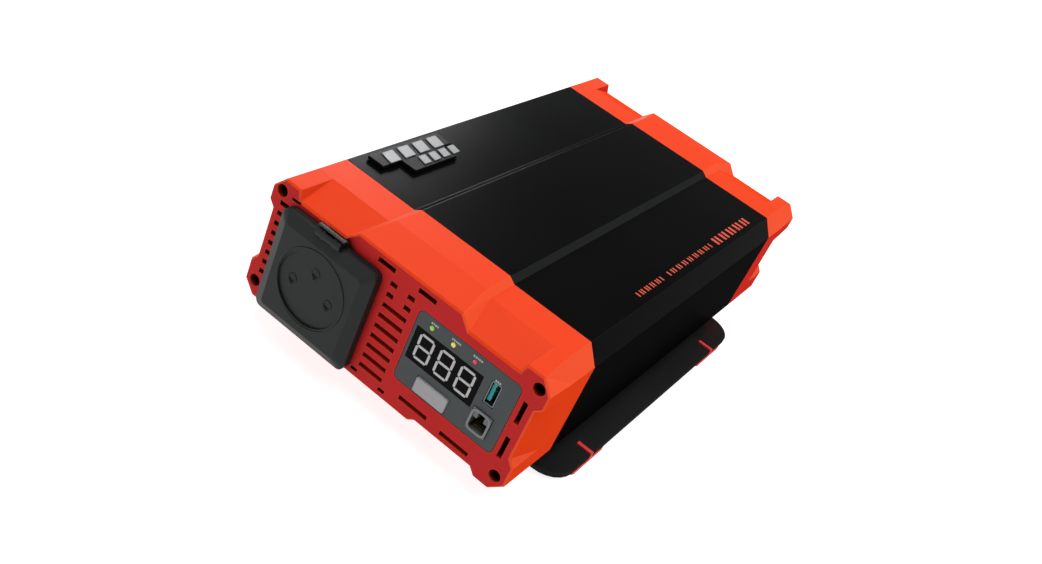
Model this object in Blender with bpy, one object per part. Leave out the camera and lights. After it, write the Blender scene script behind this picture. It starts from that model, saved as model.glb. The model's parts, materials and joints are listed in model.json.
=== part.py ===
"""Power inverter: an extruded case between two moulded end caps, on a flanged base plate.

Metres, +Z up. The origin is on the floor under the middle of the whole object. The front cap,
with the socket and the control panel, faces -Y; the fan and the battery terminals face +Y.
"""

import math

import bmesh
import bpy
from mathutils import Matrix, Vector

# ---------------------------------------------------------------- driving dimensions
gap = 0.0003  # left between any two pieces that touch

# Case and end caps
case_width = 0.172
case_length = 0.312  # over both end caps
case_height = 0.073  # underside to shoulders
case_wall = 0.0025
cap_depth = 0.0425
cap_wall = 0.003
corner_run = 0.0073
corner_drop = 0.0104
lower_chamfer = 0.007
band_rise = 0.0026
band_half = 0.0283
band_slope = 0.0038
lip_width = 0.009

# Moulded shape of the caps, measured from the case's outline at their outer face
crease_depth = 0.022
edge_bevel = 0.0010
band_face_half = 0.0330
band_face_foot = 0.0381
band_face_drop = 0.0005
top_recess = 0.0068
side_recess = 0.0035
bottom_recess = 0.0037
lobe_width = 0.0160
lobe_drop = 0.0012
lobe_chamfer_run = 0.0061
lobe_chamfer_drop = 0.0083
lobe_height = 0.0164
lower_lobe_height = 0.0192

# Base plate and feet
foot_height = 0.003
flange_thick = 0.003
flange_reach = 0.012
flange_radius = 0.016
stand_height = 0.007
slot_offset = 0.078
flange_slot_width = 0.0030
flange_slot_depth = 0.010
foot_length = 0.036
foot_width = 0.018
foot_rib_rise = 0.0006

# Cap screws
screw_inset = 0.0063
screw_drop = 0.0079
screw_rise = 0.0093
screw_radius = 0.0020
screw_head_radius = 0.0031
screw_head_height = 0.0024
screw_grip = 0.006
screw_bite = 0.012
upper_boss_radius = 0.0034
lower_boss_radius = 0.0044
cap_boss_half = 0.0050

# Air slots
slot_height = 0.0027
slot_overrun = 0.0006  # past the cap wall
vent_width = 0.0150
vent_pitch = 0.00635
vent_rows = 7
vent_first = 0.0105
vent_space = 0.005
short_slot = 0.0042
band_slot_x = 0.0126
band_slot_width = 0.0108
band_slot_drop = 0.0049
sill_slot_x = 0.0090
sill_slot_rise = 0.0054
sill_slot_height = 0.0020
panel_slot_width = 0.0178
panel_slots = ((0.0581, 0.0098), (0.0315, 0.0085))  # in from the right side, up from the underside
side_slot_length = 0.0134
side_slot_rises = (0.0482, 0.0261)
edge_slot_rows = 8
edge_slot_first = 0.0169
edge_slot_pitch = 0.0060
corner_slot_inset = 0.0158
corner_slot_drop = 0.0080
corner_slot_width = 0.0056
corner_slot_height = 0.0016

# Badge on the left shoulder
badge_inset = 0.0114
badge_start = 0.054
badge_length = 0.059
badge_width = 0.0206
badge_row = 0.0100
badge_rear_step = 0.007
badge_front_step = 0.015
badge_thick = 0.0020

# Socket, its lid and hinge
socket_inset = 0.0437
socket_rise = 0.0328
socket_size = 0.0605
socket_corner = 0.0040
socket_frame_thick = 0.0020
well_radius = 0.0205
well_depth = 0.0135
barrel_wall = 0.0030
barrel_depth = 0.030
pin_spacing = 0.019
pin_hole_radius = 0.0030
contact_wall = 0.0005
lid_height = 0.0057
lid_side = 0.0024
lid_bevel = 0.0058
lid_wall = 0.0019
lid_recess = 0.0008
mark_radius = 0.0017
mark_spread = 0.0117
mark_drop = 0.0018
mark_rise = 0.0090
lid_knuckle_near = 0.0027
lid_knuckle_far = 0.0046
frame_knuckle = 0.0023
hinge_radius = 0.0022
hinge_rise = 0.00135
hinge_half = 0.0072
hinge_pin_radius = 0.0009
spring_wire = 0.00028
spring_turns = 5
spring_width = 0.0040
clip_width = 0.0046
clip_slot_start = 0.0003
clip_slot_end = 0.0021

# Control panel and what sits in it
panel_width = 0.0611
panel_height = 0.0423
panel_inset = 0.0129
panel_drop = 0.0127
panel_corner = 0.0030
panel_thick = 0.0034
panel_rim = 0.0012
window_width = 0.0400
window_height = 0.0189
window_inset = 0.0018
window_drop = 0.0089
digit_width = 0.0087
digit_height = 0.0147
digit_pitch = 0.0125
light_radius = 0.0012
light_drop = 0.0051
light_pitch = 0.0130
light_inset = 0.0090
button_width = 0.0193
button_height = 0.0086
button_inset = 0.0121
button_rise = 0.0055
button_proud = 0.0012
button_travel = 0.0015
usb_width = 0.0057
usb_height = 0.0131
usb_from_right = 0.0118
usb_drop = 0.0138
usb_wall = 0.0005
jack_width = 0.0112
jack_height = 0.0129
jack_from_right = 0.0116
jack_rise = 0.01065
jack_wall = 0.0009
board_depth = 0.015  # panel face to display board
board_thick = 0.0016
rim_end = 0.0018  # behind the cap wall
switch_depth = 0.0040
switch_half = 0.0042
plunger_reach = 0.0055
plunger_radius = 0.0014
tongue_thick = 0.0018
tongue_start = 0.0015
jack_plug_height = 0.0070
jack_latch_height = 0.0048

# Fan and rear terminals
fan_size = 0.050
fan_depth = 0.015
fan_inset = 0.0445
fan_wall = 0.0012
hub_radius = 0.0120
blade_count = 7
blade_thick = 0.0008
grille_pitch = 0.0052
grille_slot = 0.0032
stud_radius = 0.0040
stud_pitch = 0.032
stud_inset = 0.026
stud_inside = 0.020
collar_thick = 0.0025
collar_radius = 0.0075
plate_thick = 0.0030
plate_margin = 0.016
plate_height = 0.034
barrier_thick = 0.0025
barrier_height = 0.0150
washer_thick = 0.0020
washer_radius = 0.0090
knob_radius = 0.0092
knob_length = 0.0130
knob_travel = 0.005
knob_flutes = 12
earth_rise = 0.0125
earth_hole_radius = 0.0028
stud_lowering = 0.002
rear_slot_x = 0.016
rear_slot_rise = 0.0098
rear_slot_drop = 0.0120

# Inside the case
main_board_margin = 0.014
board_front_space = 0.004
board_rear_space = 0.010
boss_from_end = 0.008
boss_from_side = 0.024
board_boss_height = 0.0054
board_boss_radius = 0.0035
core_width = 0.056
core_depth = 0.020
core_height = 0.050
core_leg = 0.018
core_yoke = 0.008
winding_build = 0.0105
capacitor_radius = 0.0145
capacitor_height = 0.045
choke_radius = 0.0150
choke_wire = 0.0055
clamp_thick = 0.0060
clamp_height = 0.012
package_width = 0.0150
package_height = 0.0200
package_thick = 0.0045
package_pitch = 0.0210
cable_radius = 0.0034
ribbon_width = 0.016
ribbon_thick = 0.0008

# ---------------------------------------------------------------- places worked out from them
half_width = case_width / 2
case_bottom = foot_height + flange_thick + stand_height
case_top = case_bottom + case_height
lid_reach = gap + socket_frame_thick + gap + lid_height
collar_start = gap + plate_thick + gap
washer_start = collar_start + collar_thick + gap
knob_start = washer_start + washer_thick + gap
knob_reach = knob_start + knob_length
front = lid_reach - (case_length + lid_reach + knob_reach) / 2
rear = front + case_length
cover_front = front + cap_depth + gap
cover_rear = rear - cap_depth - gap
middle = (front + rear) / 2
screw_x = half_width - screw_inset
screw_heights = (case_bottom + screw_rise, case_top - screw_drop)
cavity_half = half_width - side_recess - cap_wall
cavity_top = case_top - top_recess - cap_wall
cavity_bottom = case_bottom + bottom_recess + cap_wall
socket_x = socket_inset - half_width
socket_z = case_bottom + socket_rise
socket_front = front - gap - socket_frame_thick
barrel_radius = well_radius + barrel_wall
lid_base = socket_front - gap
lid_face = lid_base - lid_height
hinge_y = lid_base - hinge_radius - 2 * gap
hinge_z = socket_z + socket_size / 2 + hinge_rise
panel_right = half_width - panel_inset
panel_left = panel_right - panel_width
panel_top = case_top - panel_drop
panel_bottom = panel_top - panel_height
display_board_y = front + board_depth
back_of_parts = display_board_y - gap
fan_x = half_width - fan_inset
mid_z = (case_top + case_bottom) / 2
stud_z = mid_z - stud_lowering
stud_xs = (stud_inset - half_width, stud_inset + stud_pitch - half_width)
plate_x = sum(stud_xs) / 2
plate_width = stud_pitch + 2 * plate_margin
base_floor = case_bottom + case_wall + gap
base_top = base_floor + case_wall
board_z = base_top + board_boss_height + gap
board_top = board_z + board_thick + gap
board_front = cover_front + board_front_space
board_rear = cover_rear - board_rear_space

# Colour, roughness and metallic value of each finish
finishes = {
    "orange_plastic": ((0.80, 0.075, 0.018), 0.42, 0.0),
    "black_anodised": ((0.012, 0.012, 0.013), 0.40, 0.6),
    "black_plastic": ((0.018, 0.020, 0.020), 0.45, 0.0),
    "grey_plastic": ((0.075, 0.085, 0.088), 0.45, 0.0),
    "light_grey_plastic": ((0.36, 0.34, 0.36), 0.40, 0.0),
    "smoked_window": ((0.006, 0.006, 0.007), 0.10, 0.0),
    "green_light": ((0.45, 0.70, 0.08), 0.25, 0.0),
    "yellow_light": ((0.80, 0.75, 0.10), 0.25, 0.0),
    "red_light": ((0.75, 0.05, 0.12), 0.25, 0.0),
    "teal_plastic": ((0.02, 0.36, 0.36), 0.35, 0.0),
    "steel": ((0.55, 0.55, 0.56), 0.30, 1.0),
    "brass": ((0.78, 0.56, 0.25), 0.28, 1.0),
    "red_rubber": ((0.70, 0.05, 0.03), 0.70, 0.0),
    "red_plastic": ((0.62, 0.02, 0.02), 0.38, 0.0),
    "aluminium": ((0.70, 0.70, 0.72), 0.35, 1.0),
    "circuit_board": ((0.02, 0.16, 0.05), 0.40, 0.0),
    "ferrite": ((0.05, 0.05, 0.055), 0.60, 0.0),
    "copper_wire": ((0.62, 0.26, 0.10), 0.35, 0.8),
    "capacitor_sleeve": ((0.02, 0.03, 0.09), 0.35, 0.0),
    "black_cable": ((0.015, 0.015, 0.015), 0.50, 0.0),
    "ribbon": ((0.50, 0.50, 0.52), 0.50, 0.0),
}


# ---------------------------------------------------------------- outlines
def both_sides(half):
    """A closed outline from the points of its right half, listed from top centre to bottom centre."""
    return half + [(-x, z) for x, z in reversed(half) if x > 0]


def rectangle(x, z, width, height, radius=0.0, steps=4):
    """An outline centred on x, z; its corners are arcs when a radius is given."""
    if not radius:
        a, b = width / 2, height / 2
        return [(x + a, z + b), (x + a, z - b), (x - a, z - b), (x - a, z + b)]
    points = []
    for corner in range(4):
        side_x = 1 if corner in (0, 3) else -1
        side_z = 1 if corner in (0, 1) else -1
        middle_x = x + side_x * (width / 2 - radius)
        middle_z = z + side_z * (height / 2 - radius)
        for step in range(steps + 1):
            angle = math.pi / 2 * (corner + step / steps)
            points.append((middle_x + radius * math.cos(angle), middle_z + radius * math.sin(angle)))
    return points


def circle(x, z, radius, steps=24):
    turns = [2 * math.pi * step / steps for step in range(steps)]
    return [(x + radius * math.cos(a), z + radius * math.sin(a)) for a in turns]


def inset(outline, distance):
    """The outline moved inwards by a distance along its mitred corners."""
    area = sum(a[0] * b[1] - b[0] * a[1] for a, b in zip(outline, outline[1:] + outline[:1]))
    inward = 1 if area > 0 else -1
    moved = []
    for before, here, after in zip(outline[-1:] + outline, outline, outline[1:] + outline[:1]):
        first = (Vector(here) - Vector(before)).normalized()
        second = (Vector(after) - Vector(here)).normalized()
        normals = [Vector((-side.y, side.x)) * inward for side in (first, second)]
        bisector = (normals[0] + normals[1]).normalized()
        reach = distance / max(bisector.dot(normals[0]), 0.3)
        moved.append((here[0] + bisector.x * reach, here[1] + bisector.y * reach))
    return moved


# ---------------------------------------------------------------- solids
def place(outline, axis, along):
    """A flat outline as 3-D points on the plane at a distance along an axis."""
    if axis == "x":
        return [(along, a, b) for a, b in outline]
    if axis == "y":
        return [(a, along, b) for a, b in outline]
    return [(a, b, along) for a, b in outline]


def loft(name, sections, ring=False):
    """One closed body through sections with equal point counts; a ring joins its last to its first."""
    shape = bmesh.new()
    rows = [[shape.verts.new(point) for point in section] for section in sections]
    count = len(rows[0])
    pairs = list(zip(rows, rows[1:]))
    if ring:
        pairs.append((rows[-1], rows[0]))
    else:
        shape.faces.new(rows[0])
        shape.faces.new(rows[-1])
    for low, high in pairs:
        for i in range(count):
            j = (i + 1) % count
            shape.faces.new((low[i], low[j], high[j], high[i]))
    bmesh.ops.recalc_face_normals(shape, faces=shape.faces)
    mesh = bpy.data.meshes.new(name)
    shape.to_mesh(mesh)
    shape.free()
    piece = bpy.data.objects.new(name, mesh)
    bpy.context.scene.collection.objects.link(piece)
    return piece


def prism(name, outline, axis, start, end):
    return loft(name, [place(outline, axis, start), place(outline, axis, end)])


def block(name, low, high):
    outline = [(low[0], low[2]), (high[0], low[2]), (high[0], high[2]), (low[0], high[2])]
    return prism(name, outline, "y", low[1], high[1])


def turned(name, axis, centre, profile, steps=24, ring=False):
    """A round body about an axis through centre: the profile lists (along, radius)."""
    sections = [place(circle(*centre, radius, steps), axis, along) for along, radius in profile]
    return loft(name, sections, ring)


def sweep(name, path, outline, ring=False):
    """An outline carried along a smooth path, kept square to it."""
    points = [Vector(point) for point in path]
    sections = []
    up = None
    for i, here in enumerate(points):
        after = points[(i + 1) % len(points)] if ring else points[min(i + 1, len(points) - 1)]
        before = points[i - 1] if ring or i else here
        along = (after - before).normalized()
        if up is None:
            up = along.orthogonal().normalized()
        up = (up - along * up.dot(along)).normalized()
        side = along.cross(up)
        sections.append([here + side * a + up * b for a, b in outline])
    return loft(name, sections, ring)


def bezier(start, leave, arrive, end, steps):
    """Points of a smooth curve with the given handles, the ends included."""
    points = []
    for step in range(steps + 1):
        t = step / steps
        weights = ((1 - t) ** 3, 3 * t * (1 - t) ** 2, 3 * t * t * (1 - t), t**3)
        corners = [Vector(corner) for corner in (start, leave, arrive, end)]
        points.append(sum((corner * weight for corner, weight in zip(corners, weights)), Vector()))
    return points


def boolean(piece, tool, operation):
    change = piece.modifiers.new(operation, "BOOLEAN")
    change.operation = operation
    change.solver = "EXACT"
    change.object = tool
    graph = bpy.context.evaluated_depsgraph_get()
    result = bpy.data.meshes.new_from_object(piece.evaluated_get(graph))
    before = piece.data
    piece.modifiers.clear()
    piece.data = result
    bpy.data.meshes.remove(before)
    bpy.data.objects.remove(tool)


def cut(piece, *tools):
    """Takes tools that don't touch each other out of a piece, all at once."""
    shape = bmesh.new()
    for tool in tools:
        shape.from_mesh(tool.data)
        if tool is not tools[0]:
            bpy.data.objects.remove(tool)
    shape.to_mesh(tools[0].data)
    shape.free()
    boolean(piece, tools[0], "DIFFERENCE")
    return piece


def join(piece, *tools):
    for tool in tools:
        boolean(piece, tool, "UNION")
    return piece


def dress(piece, finish, origin=(0, 0, 0)):
    """Gives a finished piece its material and shading, and moves its origin to a joint's axis."""
    colour, roughness, metallic = finishes[finish]
    material = bpy.data.materials.new(piece.name)
    material.use_nodes = True
    shader = material.node_tree.nodes["Principled BSDF"]
    shader.inputs["Base Color"].default_value = (*colour, 1)
    shader.inputs["Roughness"].default_value = roughness
    shader.inputs["Metallic"].default_value = metallic
    piece.data.materials.clear()
    piece.data.materials.append(material)
    piece.data.transform(Matrix.Translation(-Vector(origin)))
    piece.location = origin
    piece.data.shade_smooth()
    piece.data.set_sharp_from_angle(angle=math.radians(32))
    piece.parent = bpy.data.objects["power_inverter"]
    return piece


# ---------------------------------------------------------------- case
def case_half():
    """Right half of the case's outer section, from top centre to the foot of the lower chamfer."""
    return [
        (0, case_top + band_rise),
        (band_half, case_top + band_rise),
        (band_half + band_slope, case_top),
        (half_width - corner_run, case_top),
        (half_width, case_top - corner_drop),
        (half_width, case_bottom + lower_chamfer),
        (half_width - lower_chamfer, case_bottom),
    ]


def make_case_cover():
    lip_end = half_width - lower_chamfer - lip_width
    outer = case_half() + [(lip_end, case_bottom)]
    ring = inset(both_sides(case_half()), case_wall)
    inner = ring[: len(case_half())] + [(lip_end, case_bottom + case_wall)]
    left_outer = [(-x, z) for x, z in reversed(outer[1:])]
    left_inner = [(-x, z) for x, z in inner[1:]]
    outline = left_outer + outer + inner[::-1] + left_inner
    cover = prism("case_cover", outline, "y", cover_front, cover_rear)
    for side in (-1, 1):
        for z, radius in zip(screw_heights, (lower_boss_radius, upper_boss_radius)):
            profile = [(cover_front, radius), (cover_rear, radius)]
            join(cover, turned("boss", "y", (side * screw_x, z), profile, 16))
    bores = []
    for side in (-1, 1):
        for z in screw_heights:
            for mouth, into in ((cover_front, 1), (cover_rear, -1)):
                profile = [(mouth - into * 0.001, screw_radius + gap)]
                profile.append((mouth + into * (screw_bite + 0.002), screw_radius + gap))
                bores.append(turned("bore", "y", (side * screw_x, z), profile, 12))
    cut(cover, *bores)
    dress(cover, "black_anodised")


def make_base_plate():
    web = half_width - lower_chamfer - lip_width - gap
    floor_half = half_width - lower_chamfer - case_wall - gap
    flange = half_width + flange_reach
    half = [
        (0, base_top),
        (floor_half, base_top),
        (floor_half, base_floor),
        (web, base_floor),
        (web, foot_height + flange_thick),
        (flange, foot_height + flange_thick),
        (flange, foot_height),
        (web - case_wall, foot_height),
        (web - case_wall, base_floor - gap),
        (0, base_floor - gap),
    ]
    base = prism("base_plate", both_sides(half), "y", cover_front, cover_rear)
    plan = rectangle(0, middle, 2 * flange, cover_rear - cover_front, flange_radius, 6)
    boolean(base, prism("plan", plan, "z", 0, case_top), "INTERSECT")
    slots = []
    for side in (-1, 1):
        for y in (middle - slot_offset, middle + slot_offset):
            reach = sorted((side * (flange - flange_slot_depth), side * (flange + 0.001)))
            low = (reach[0], y - flange_slot_width / 2, 0)
            slots.append(block("slot", low, (reach[1], y + flange_slot_width / 2, case_bottom)))
    cut(base, *slots)
    for x, y in board_bosses():
        profile = [(base_top - 0.001, board_boss_radius), (base_top + board_boss_height, board_boss_radius)]
        join(base, turned("boss", "z", (x, y), profile, 12))
    dress(base, "black_anodised")


def board_bosses():
    rows = (board_front + boss_from_end, (board_front + board_rear) / 2, board_rear - boss_from_end)
    return [(side * (half_width - boss_from_side), y) for side in (-1, 1) for y in rows]


def make_feet():
    flange = half_width + flange_reach
    names = iter(("foot_front_left", "foot_rear_left", "foot_front_right", "foot_rear_right"))
    for side in (-1, 1):
        for y in (middle - slot_offset, middle + slot_offset):
            pad_x = side * (flange - foot_width / 2)
            pad = rectangle(pad_x, y, foot_width, foot_length, 0.003, 3)
            foot = prism(next(names), pad, "z", 0, foot_height - gap)
            ends = sorted((side * (flange - flange_slot_depth + gap), side * flange))
            half_rib = flange_slot_width / 2 - gap
            top = foot_height + flange_thick + foot_rib_rise
            join(foot, block("rib", (ends[0], y - half_rib, 0.001), (ends[1], y + half_rib, top)))
            dress(foot, "red_rubber")


# ---------------------------------------------------------------- end caps
def cap_half_at_rim():
    """The case's own section, with the points of the face's recesses still lying on it."""
    return [
        (0, case_top + band_rise),
        (band_half, case_top + band_rise),
        (band_half + band_slope, case_top),
        (half_width - lobe_width - 0.001, case_top),
        (half_width - lobe_width + 0.0005, case_top),
        (half_width - corner_run, case_top),
        (half_width, case_top - corner_drop),
        (half_width, case_top - lobe_height),
        (half_width, case_top - lobe_height - side_recess),
        (half_width, case_bottom + lower_lobe_height + 0.004),
        (half_width, case_bottom + lower_lobe_height),
        (half_width, case_bottom + lower_chamfer),
        (half_width - lower_chamfer, case_bottom),
        (half_width - lobe_width, case_bottom),
        (half_width - lobe_width - bottom_recess, case_bottom),
        (band_face_half - 0.002, case_bottom),
        (band_face_half - 0.0055, case_bottom),
        (0, case_bottom),
    ]


def cap_half_at_face():
    """The outer face's outline: a centre band and four lobes stand out from shallow recesses."""
    return [
        (0, case_top - band_face_drop),
        (band_face_half - 0.001, case_top - band_face_drop),
        (band_face_foot, case_top - top_recess),
        (half_width - lobe_width - 0.0016, case_top - top_recess),
        (half_width - lobe_width, case_top - lobe_drop),
        (half_width - lobe_chamfer_run, case_top - lobe_drop),
        (half_width, case_top - lobe_chamfer_drop),
        (half_width, case_top - lobe_height),
        (half_width - side_recess, case_top - lobe_height - side_recess),
        (half_width - side_recess, case_bottom + lower_lobe_height + 0.004),
        (half_width, case_bottom + lower_lobe_height),
        (half_width, case_bottom + lower_chamfer),
        (half_width - lower_chamfer, case_bottom),
        (half_width - lobe_width, case_bottom),
        (half_width - lobe_width - bottom_recess, case_bottom + bottom_recess),
        (band_face_half - 0.002, case_bottom + bottom_recess),
        (band_face_half - 0.0055, case_bottom + 0.001),
        (0, case_bottom + 0.001),
    ]


def cap_cavity():
    """The hollow behind the face; it steps round the four screw bosses."""
    boss_x = screw_x - cap_boss_half
    half = [
        (0, case_top - band_face_drop - cap_wall),
        (band_face_half - cap_wall, case_top - band_face_drop - cap_wall),
        (band_face_foot - cap_wall, cavity_top),
        (boss_x, cavity_top),
        (boss_x, screw_heights[1] - cap_boss_half),
        (cavity_half, screw_heights[1] - cap_boss_half),
        (cavity_half, screw_heights[0] + cap_boss_half),
        (boss_x, screw_heights[0] + cap_boss_half),
        (boss_x, cavity_bottom),
        (band_face_half - 0.0045, cavity_bottom),
        (band_face_half - 0.008, case_bottom + 0.001 + cap_wall),
        (0, case_bottom + 0.001 + cap_wall),
    ]
    return both_sides(half)


def make_cap(name, face, into):
    """A hollow cap whose face is at y = face; into is +1 or -1, the way towards the case."""
    rim = both_sides(cap_half_at_rim())
    outer = both_sides(cap_half_at_face())
    near = edge_bevel / crease_depth
    softened = [(a + (c - a) * near, b + (d - b) * near) for (a, b), (c, d) in zip(outer, rim)]
    cap = loft(
        name,
        [
            place(inset(outer, edge_bevel * 0.8), "y", face),
            place(softened, "y", face + into * edge_bevel),
            place(rim, "y", face + into * crease_depth),
            place(rim, "y", face + into * cap_depth),
        ],
    )
    cut(cap, prism("hollow", cap_cavity(), "y", face + into * cap_wall, face + into * (cap_depth + 0.01)))
    floor = cap_depth - screw_grip
    wide, slim = [], []
    for side in (-1, 1):
        for z in screw_heights:
            centre = (side * screw_x, z)
            wide_radius = screw_head_radius + gap
            depths = [(face - into * 0.001, wide_radius), (face + into * floor, wide_radius)]
            wide.append(turned("counterbore", "y", centre, depths, 16))
            depths = [
                (face + into * (floor - 0.001), screw_radius + gap),
                (face + into * (cap_depth + 0.001), screw_radius + gap),
            ]
            slim.append(turned("clearance", "y", centre, depths, 12))
    cut(cap, *wide)
    cut(cap, *slim)
    return cap


def make_cap_screws(end, face, into):
    for side, side_name in ((-1, "left"), (1, "right")):
        for z, height_name in zip(screw_heights, ("lower", "upper")):
            seat = cap_depth - screw_grip - gap
            depths = [
                (seat - screw_head_height, 0.6 * screw_head_radius),
                (seat - 0.7 * screw_head_height, screw_head_radius),
                (seat, screw_head_radius),
                (seat, screw_radius),
                (cap_depth + screw_bite - 0.001, screw_radius),
                (cap_depth + screw_bite, 0.6 * screw_radius),
            ]
            profile = [(face + into * depth, radius) for depth, radius in depths]
            name = f"cap_screw_{end}_{height_name}_{side_name}"
            screw = turned(name, "y", (side * screw_x, z), profile, 12)
            head = face + into * (seat - screw_head_height)
            for long, short in ((0.0016, 0.0004), (0.0004, 0.0016)):
                low = (side * screw_x - long, min(head - into * 0.001, head + into * 0.0012), z - short)
                high = (side * screw_x + long, max(head - into * 0.001, head + into * 0.0012), z + short)
                cut(screw, block("drive", low, high))
            dress(screw, "steel")


def face_slot(x, z, width, height, face, into):
    """A cutter for one air slot through a cap's face."""
    ends = sorted((face - into * 0.001, face + into * (cap_wall + slot_overrun)))
    return prism("air_slot", rectangle(x, z, width, height), "y", *ends)


def vent_columns():
    """Middles of the columns of long slots, spread between the socket and the panel."""
    left = socket_x + socket_size / 2
    room = panel_left - left
    count = max(1, int((room - vent_space) / (vent_width + vent_space)))
    return [left + room * (index + 0.5) / count for index in range(count)]


def shared_slots(face, into):
    """Air slots that both caps have: long rows in the middle, short ones above and below them."""
    slots = []
    for x in vent_columns():
        for row in range(vent_rows):
            z = case_bottom + vent_first + row * vent_pitch
            slots.append(face_slot(x, z, vent_width, slot_height, face, into))
        for step in range(2):
            z = case_bottom + vent_first + (vent_rows + step) * vent_pitch
            for side in (-1, 1):
                offset = side * (vent_width - short_slot) / 2
                slots.append(face_slot(x + offset, z, short_slot, slot_height, face, into))
    for side in (-1, 1):
        high, low = case_top - band_slot_drop, case_bottom + sill_slot_rise
        slots.append(face_slot(side * band_slot_x, high, band_slot_width, slot_height, face, into))
        slots.append(face_slot(side * sill_slot_x, low, short_slot, sill_slot_height, face, into))
    return slots


def make_front_cap():
    cap = make_cap("front_cap", front, 1)
    slots = shared_slots(front, 1)
    for x, z in panel_slots:
        spot = (half_width - x, case_bottom + z)
        slots.append(face_slot(*spot, panel_slot_width, slot_height, front, 1))
    beside = (panel_right + cavity_half) / 2 + 0.0009
    for z in side_slot_rises:
        slots.append(face_slot(beside, case_bottom + z, slot_height, side_slot_length, front, 1))
    edge = (socket_x - socket_size / 2 - cavity_half) / 2
    for row in range(edge_slot_rows):
        z = case_bottom + edge_slot_first + row * edge_slot_pitch
        slots.append(face_slot(edge, z, cavity_half - abs(edge) + 0.0024, slot_height, front, 1))
    corner = (corner_slot_inset - half_width, case_top - corner_slot_drop)
    slots.append(face_slot(*corner, corner_slot_width, corner_slot_height, front, 1))
    cut(cap, *slots)
    opening = rectangle(
        (panel_left + panel_right) / 2,
        (panel_top + panel_bottom) / 2,
        panel_width + 2 * gap,
        panel_height + 2 * gap,
        panel_corner + gap,
    )
    depth = (front - 0.001, front + cap_wall + 0.001)
    barrel = [(y, barrel_radius + gap) for y in depth]
    barrel_hole = turned("barrel_hole", "y", (socket_x, socket_z), barrel, 32)
    cut(cap, prism("panel_opening", opening, "y", *depth), barrel_hole)
    dress(cap, "orange_plastic")


def make_rear_cap():
    cap = make_cap("rear_cap", rear, -1)
    slots = shared_slots(rear, -1)
    radius = fan_size / 2 - 2 * fan_wall
    count = int(radius / grille_pitch)
    for row in range(-count, count + 1):
        offset = row * grille_pitch
        chord = 2 * math.sqrt(radius**2 - offset**2)
        if chord > grille_slot:
            slots.append(face_slot(fan_x, mid_z + offset, chord, grille_slot, rear, -1))
    for x in (plate_x - rear_slot_x, plate_x + rear_slot_x):
        for z in (case_bottom + rear_slot_rise, case_top - rear_slot_drop):
            slots.append(face_slot(x, z, panel_slot_width, slot_height, rear, -1))
    cut(cap, *slots)
    depth = (rear - cap_wall - 0.001, rear + 0.001)
    stud_hole = [(y, stud_radius + 0.001) for y in depth]
    cut(cap, *[turned("hole", "y", (x, stud_z), stud_hole, 16) for x in stud_xs])
    earth_hole = [(y, earth_hole_radius) for y in depth]
    cut(cap, turned("hole", "y", (0, case_bottom + earth_rise), earth_hole, 12))
    dress(cap, "orange_plastic")


# ---------------------------------------------------------------- badge
def make_badge():
    """A raised two-row plate on the top's left shoulder."""
    left = badge_inset - half_width
    start = front + badge_start
    end = start + badge_length
    step_x = left + badge_width - badge_row
    right = left + badge_width
    outline = [
        (left, start),
        (left, end),
        (step_x, end),
        (step_x, end - badge_rear_step),
        (right, end - badge_rear_step),
        (right, start + badge_front_step),
        (step_x, start + badge_front_step),
        (step_x, start),
    ]
    foot = case_top + gap
    dress(prism("badge_plate", outline, "z", foot, foot + badge_thick), "black_plastic")


# ---------------------------------------------------------------- socket
def make_socket_body():
    frame = rectangle(socket_x, socket_z, socket_size, socket_size, socket_corner)
    body = prism("socket_body", frame, "y", socket_front, front - gap)
    depths = [(front - gap - 0.0005, barrel_radius), (front + barrel_depth, barrel_radius)]
    join(body, turned("barrel", "y", (socket_x, socket_z), depths, 32))
    floor = socket_front + well_depth
    well = [
        (socket_front - 0.001, well_radius + 0.0006),
        (socket_front + 0.0006, well_radius),
        (floor, well_radius),
    ]
    cut(body, turned("well", "y", (socket_x, socket_z), well, 32))
    back = front + barrel_depth
    holes = []
    for side in (-1, 1):
        depths = [(floor - 0.001, pin_hole_radius), (back - 0.002, pin_hole_radius)]
        holes.append(turned("pin_hole", "y", (socket_x + side * pin_spacing / 2, socket_z), depths, 16))
    clip = socket_z - well_radius
    low = (socket_x - clip_width / 2, floor - 0.001, clip + clip_slot_start)
    high = (socket_x + clip_width / 2, back + 0.001, clip + clip_slot_end)
    holes.append(block("clip_slot", low, high))
    cut(body, *holes)
    for side in (-1, 1):
        ends = sorted((side * hinge_half, side * (hinge_half - frame_knuckle)))
        xs = [socket_x + end for end in ends]
        low = (xs[0], hinge_y, hinge_z - hinge_radius * 0.7)
        join(body, block("web", low, (xs[1], front - gap, hinge_z + hinge_radius * 0.5)))
        join(body, turned("knuckle", "x", (hinge_y, hinge_z), [(x, hinge_radius) for x in xs], 16))
    reach = hinge_half + 0.001
    bore = [(socket_x - reach, hinge_pin_radius + gap), (socket_x + reach, hinge_pin_radius + gap)]
    cut(body, turned("bore", "x", (hinge_y, hinge_z), bore, 12))
    dress(body, "black_plastic")


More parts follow.
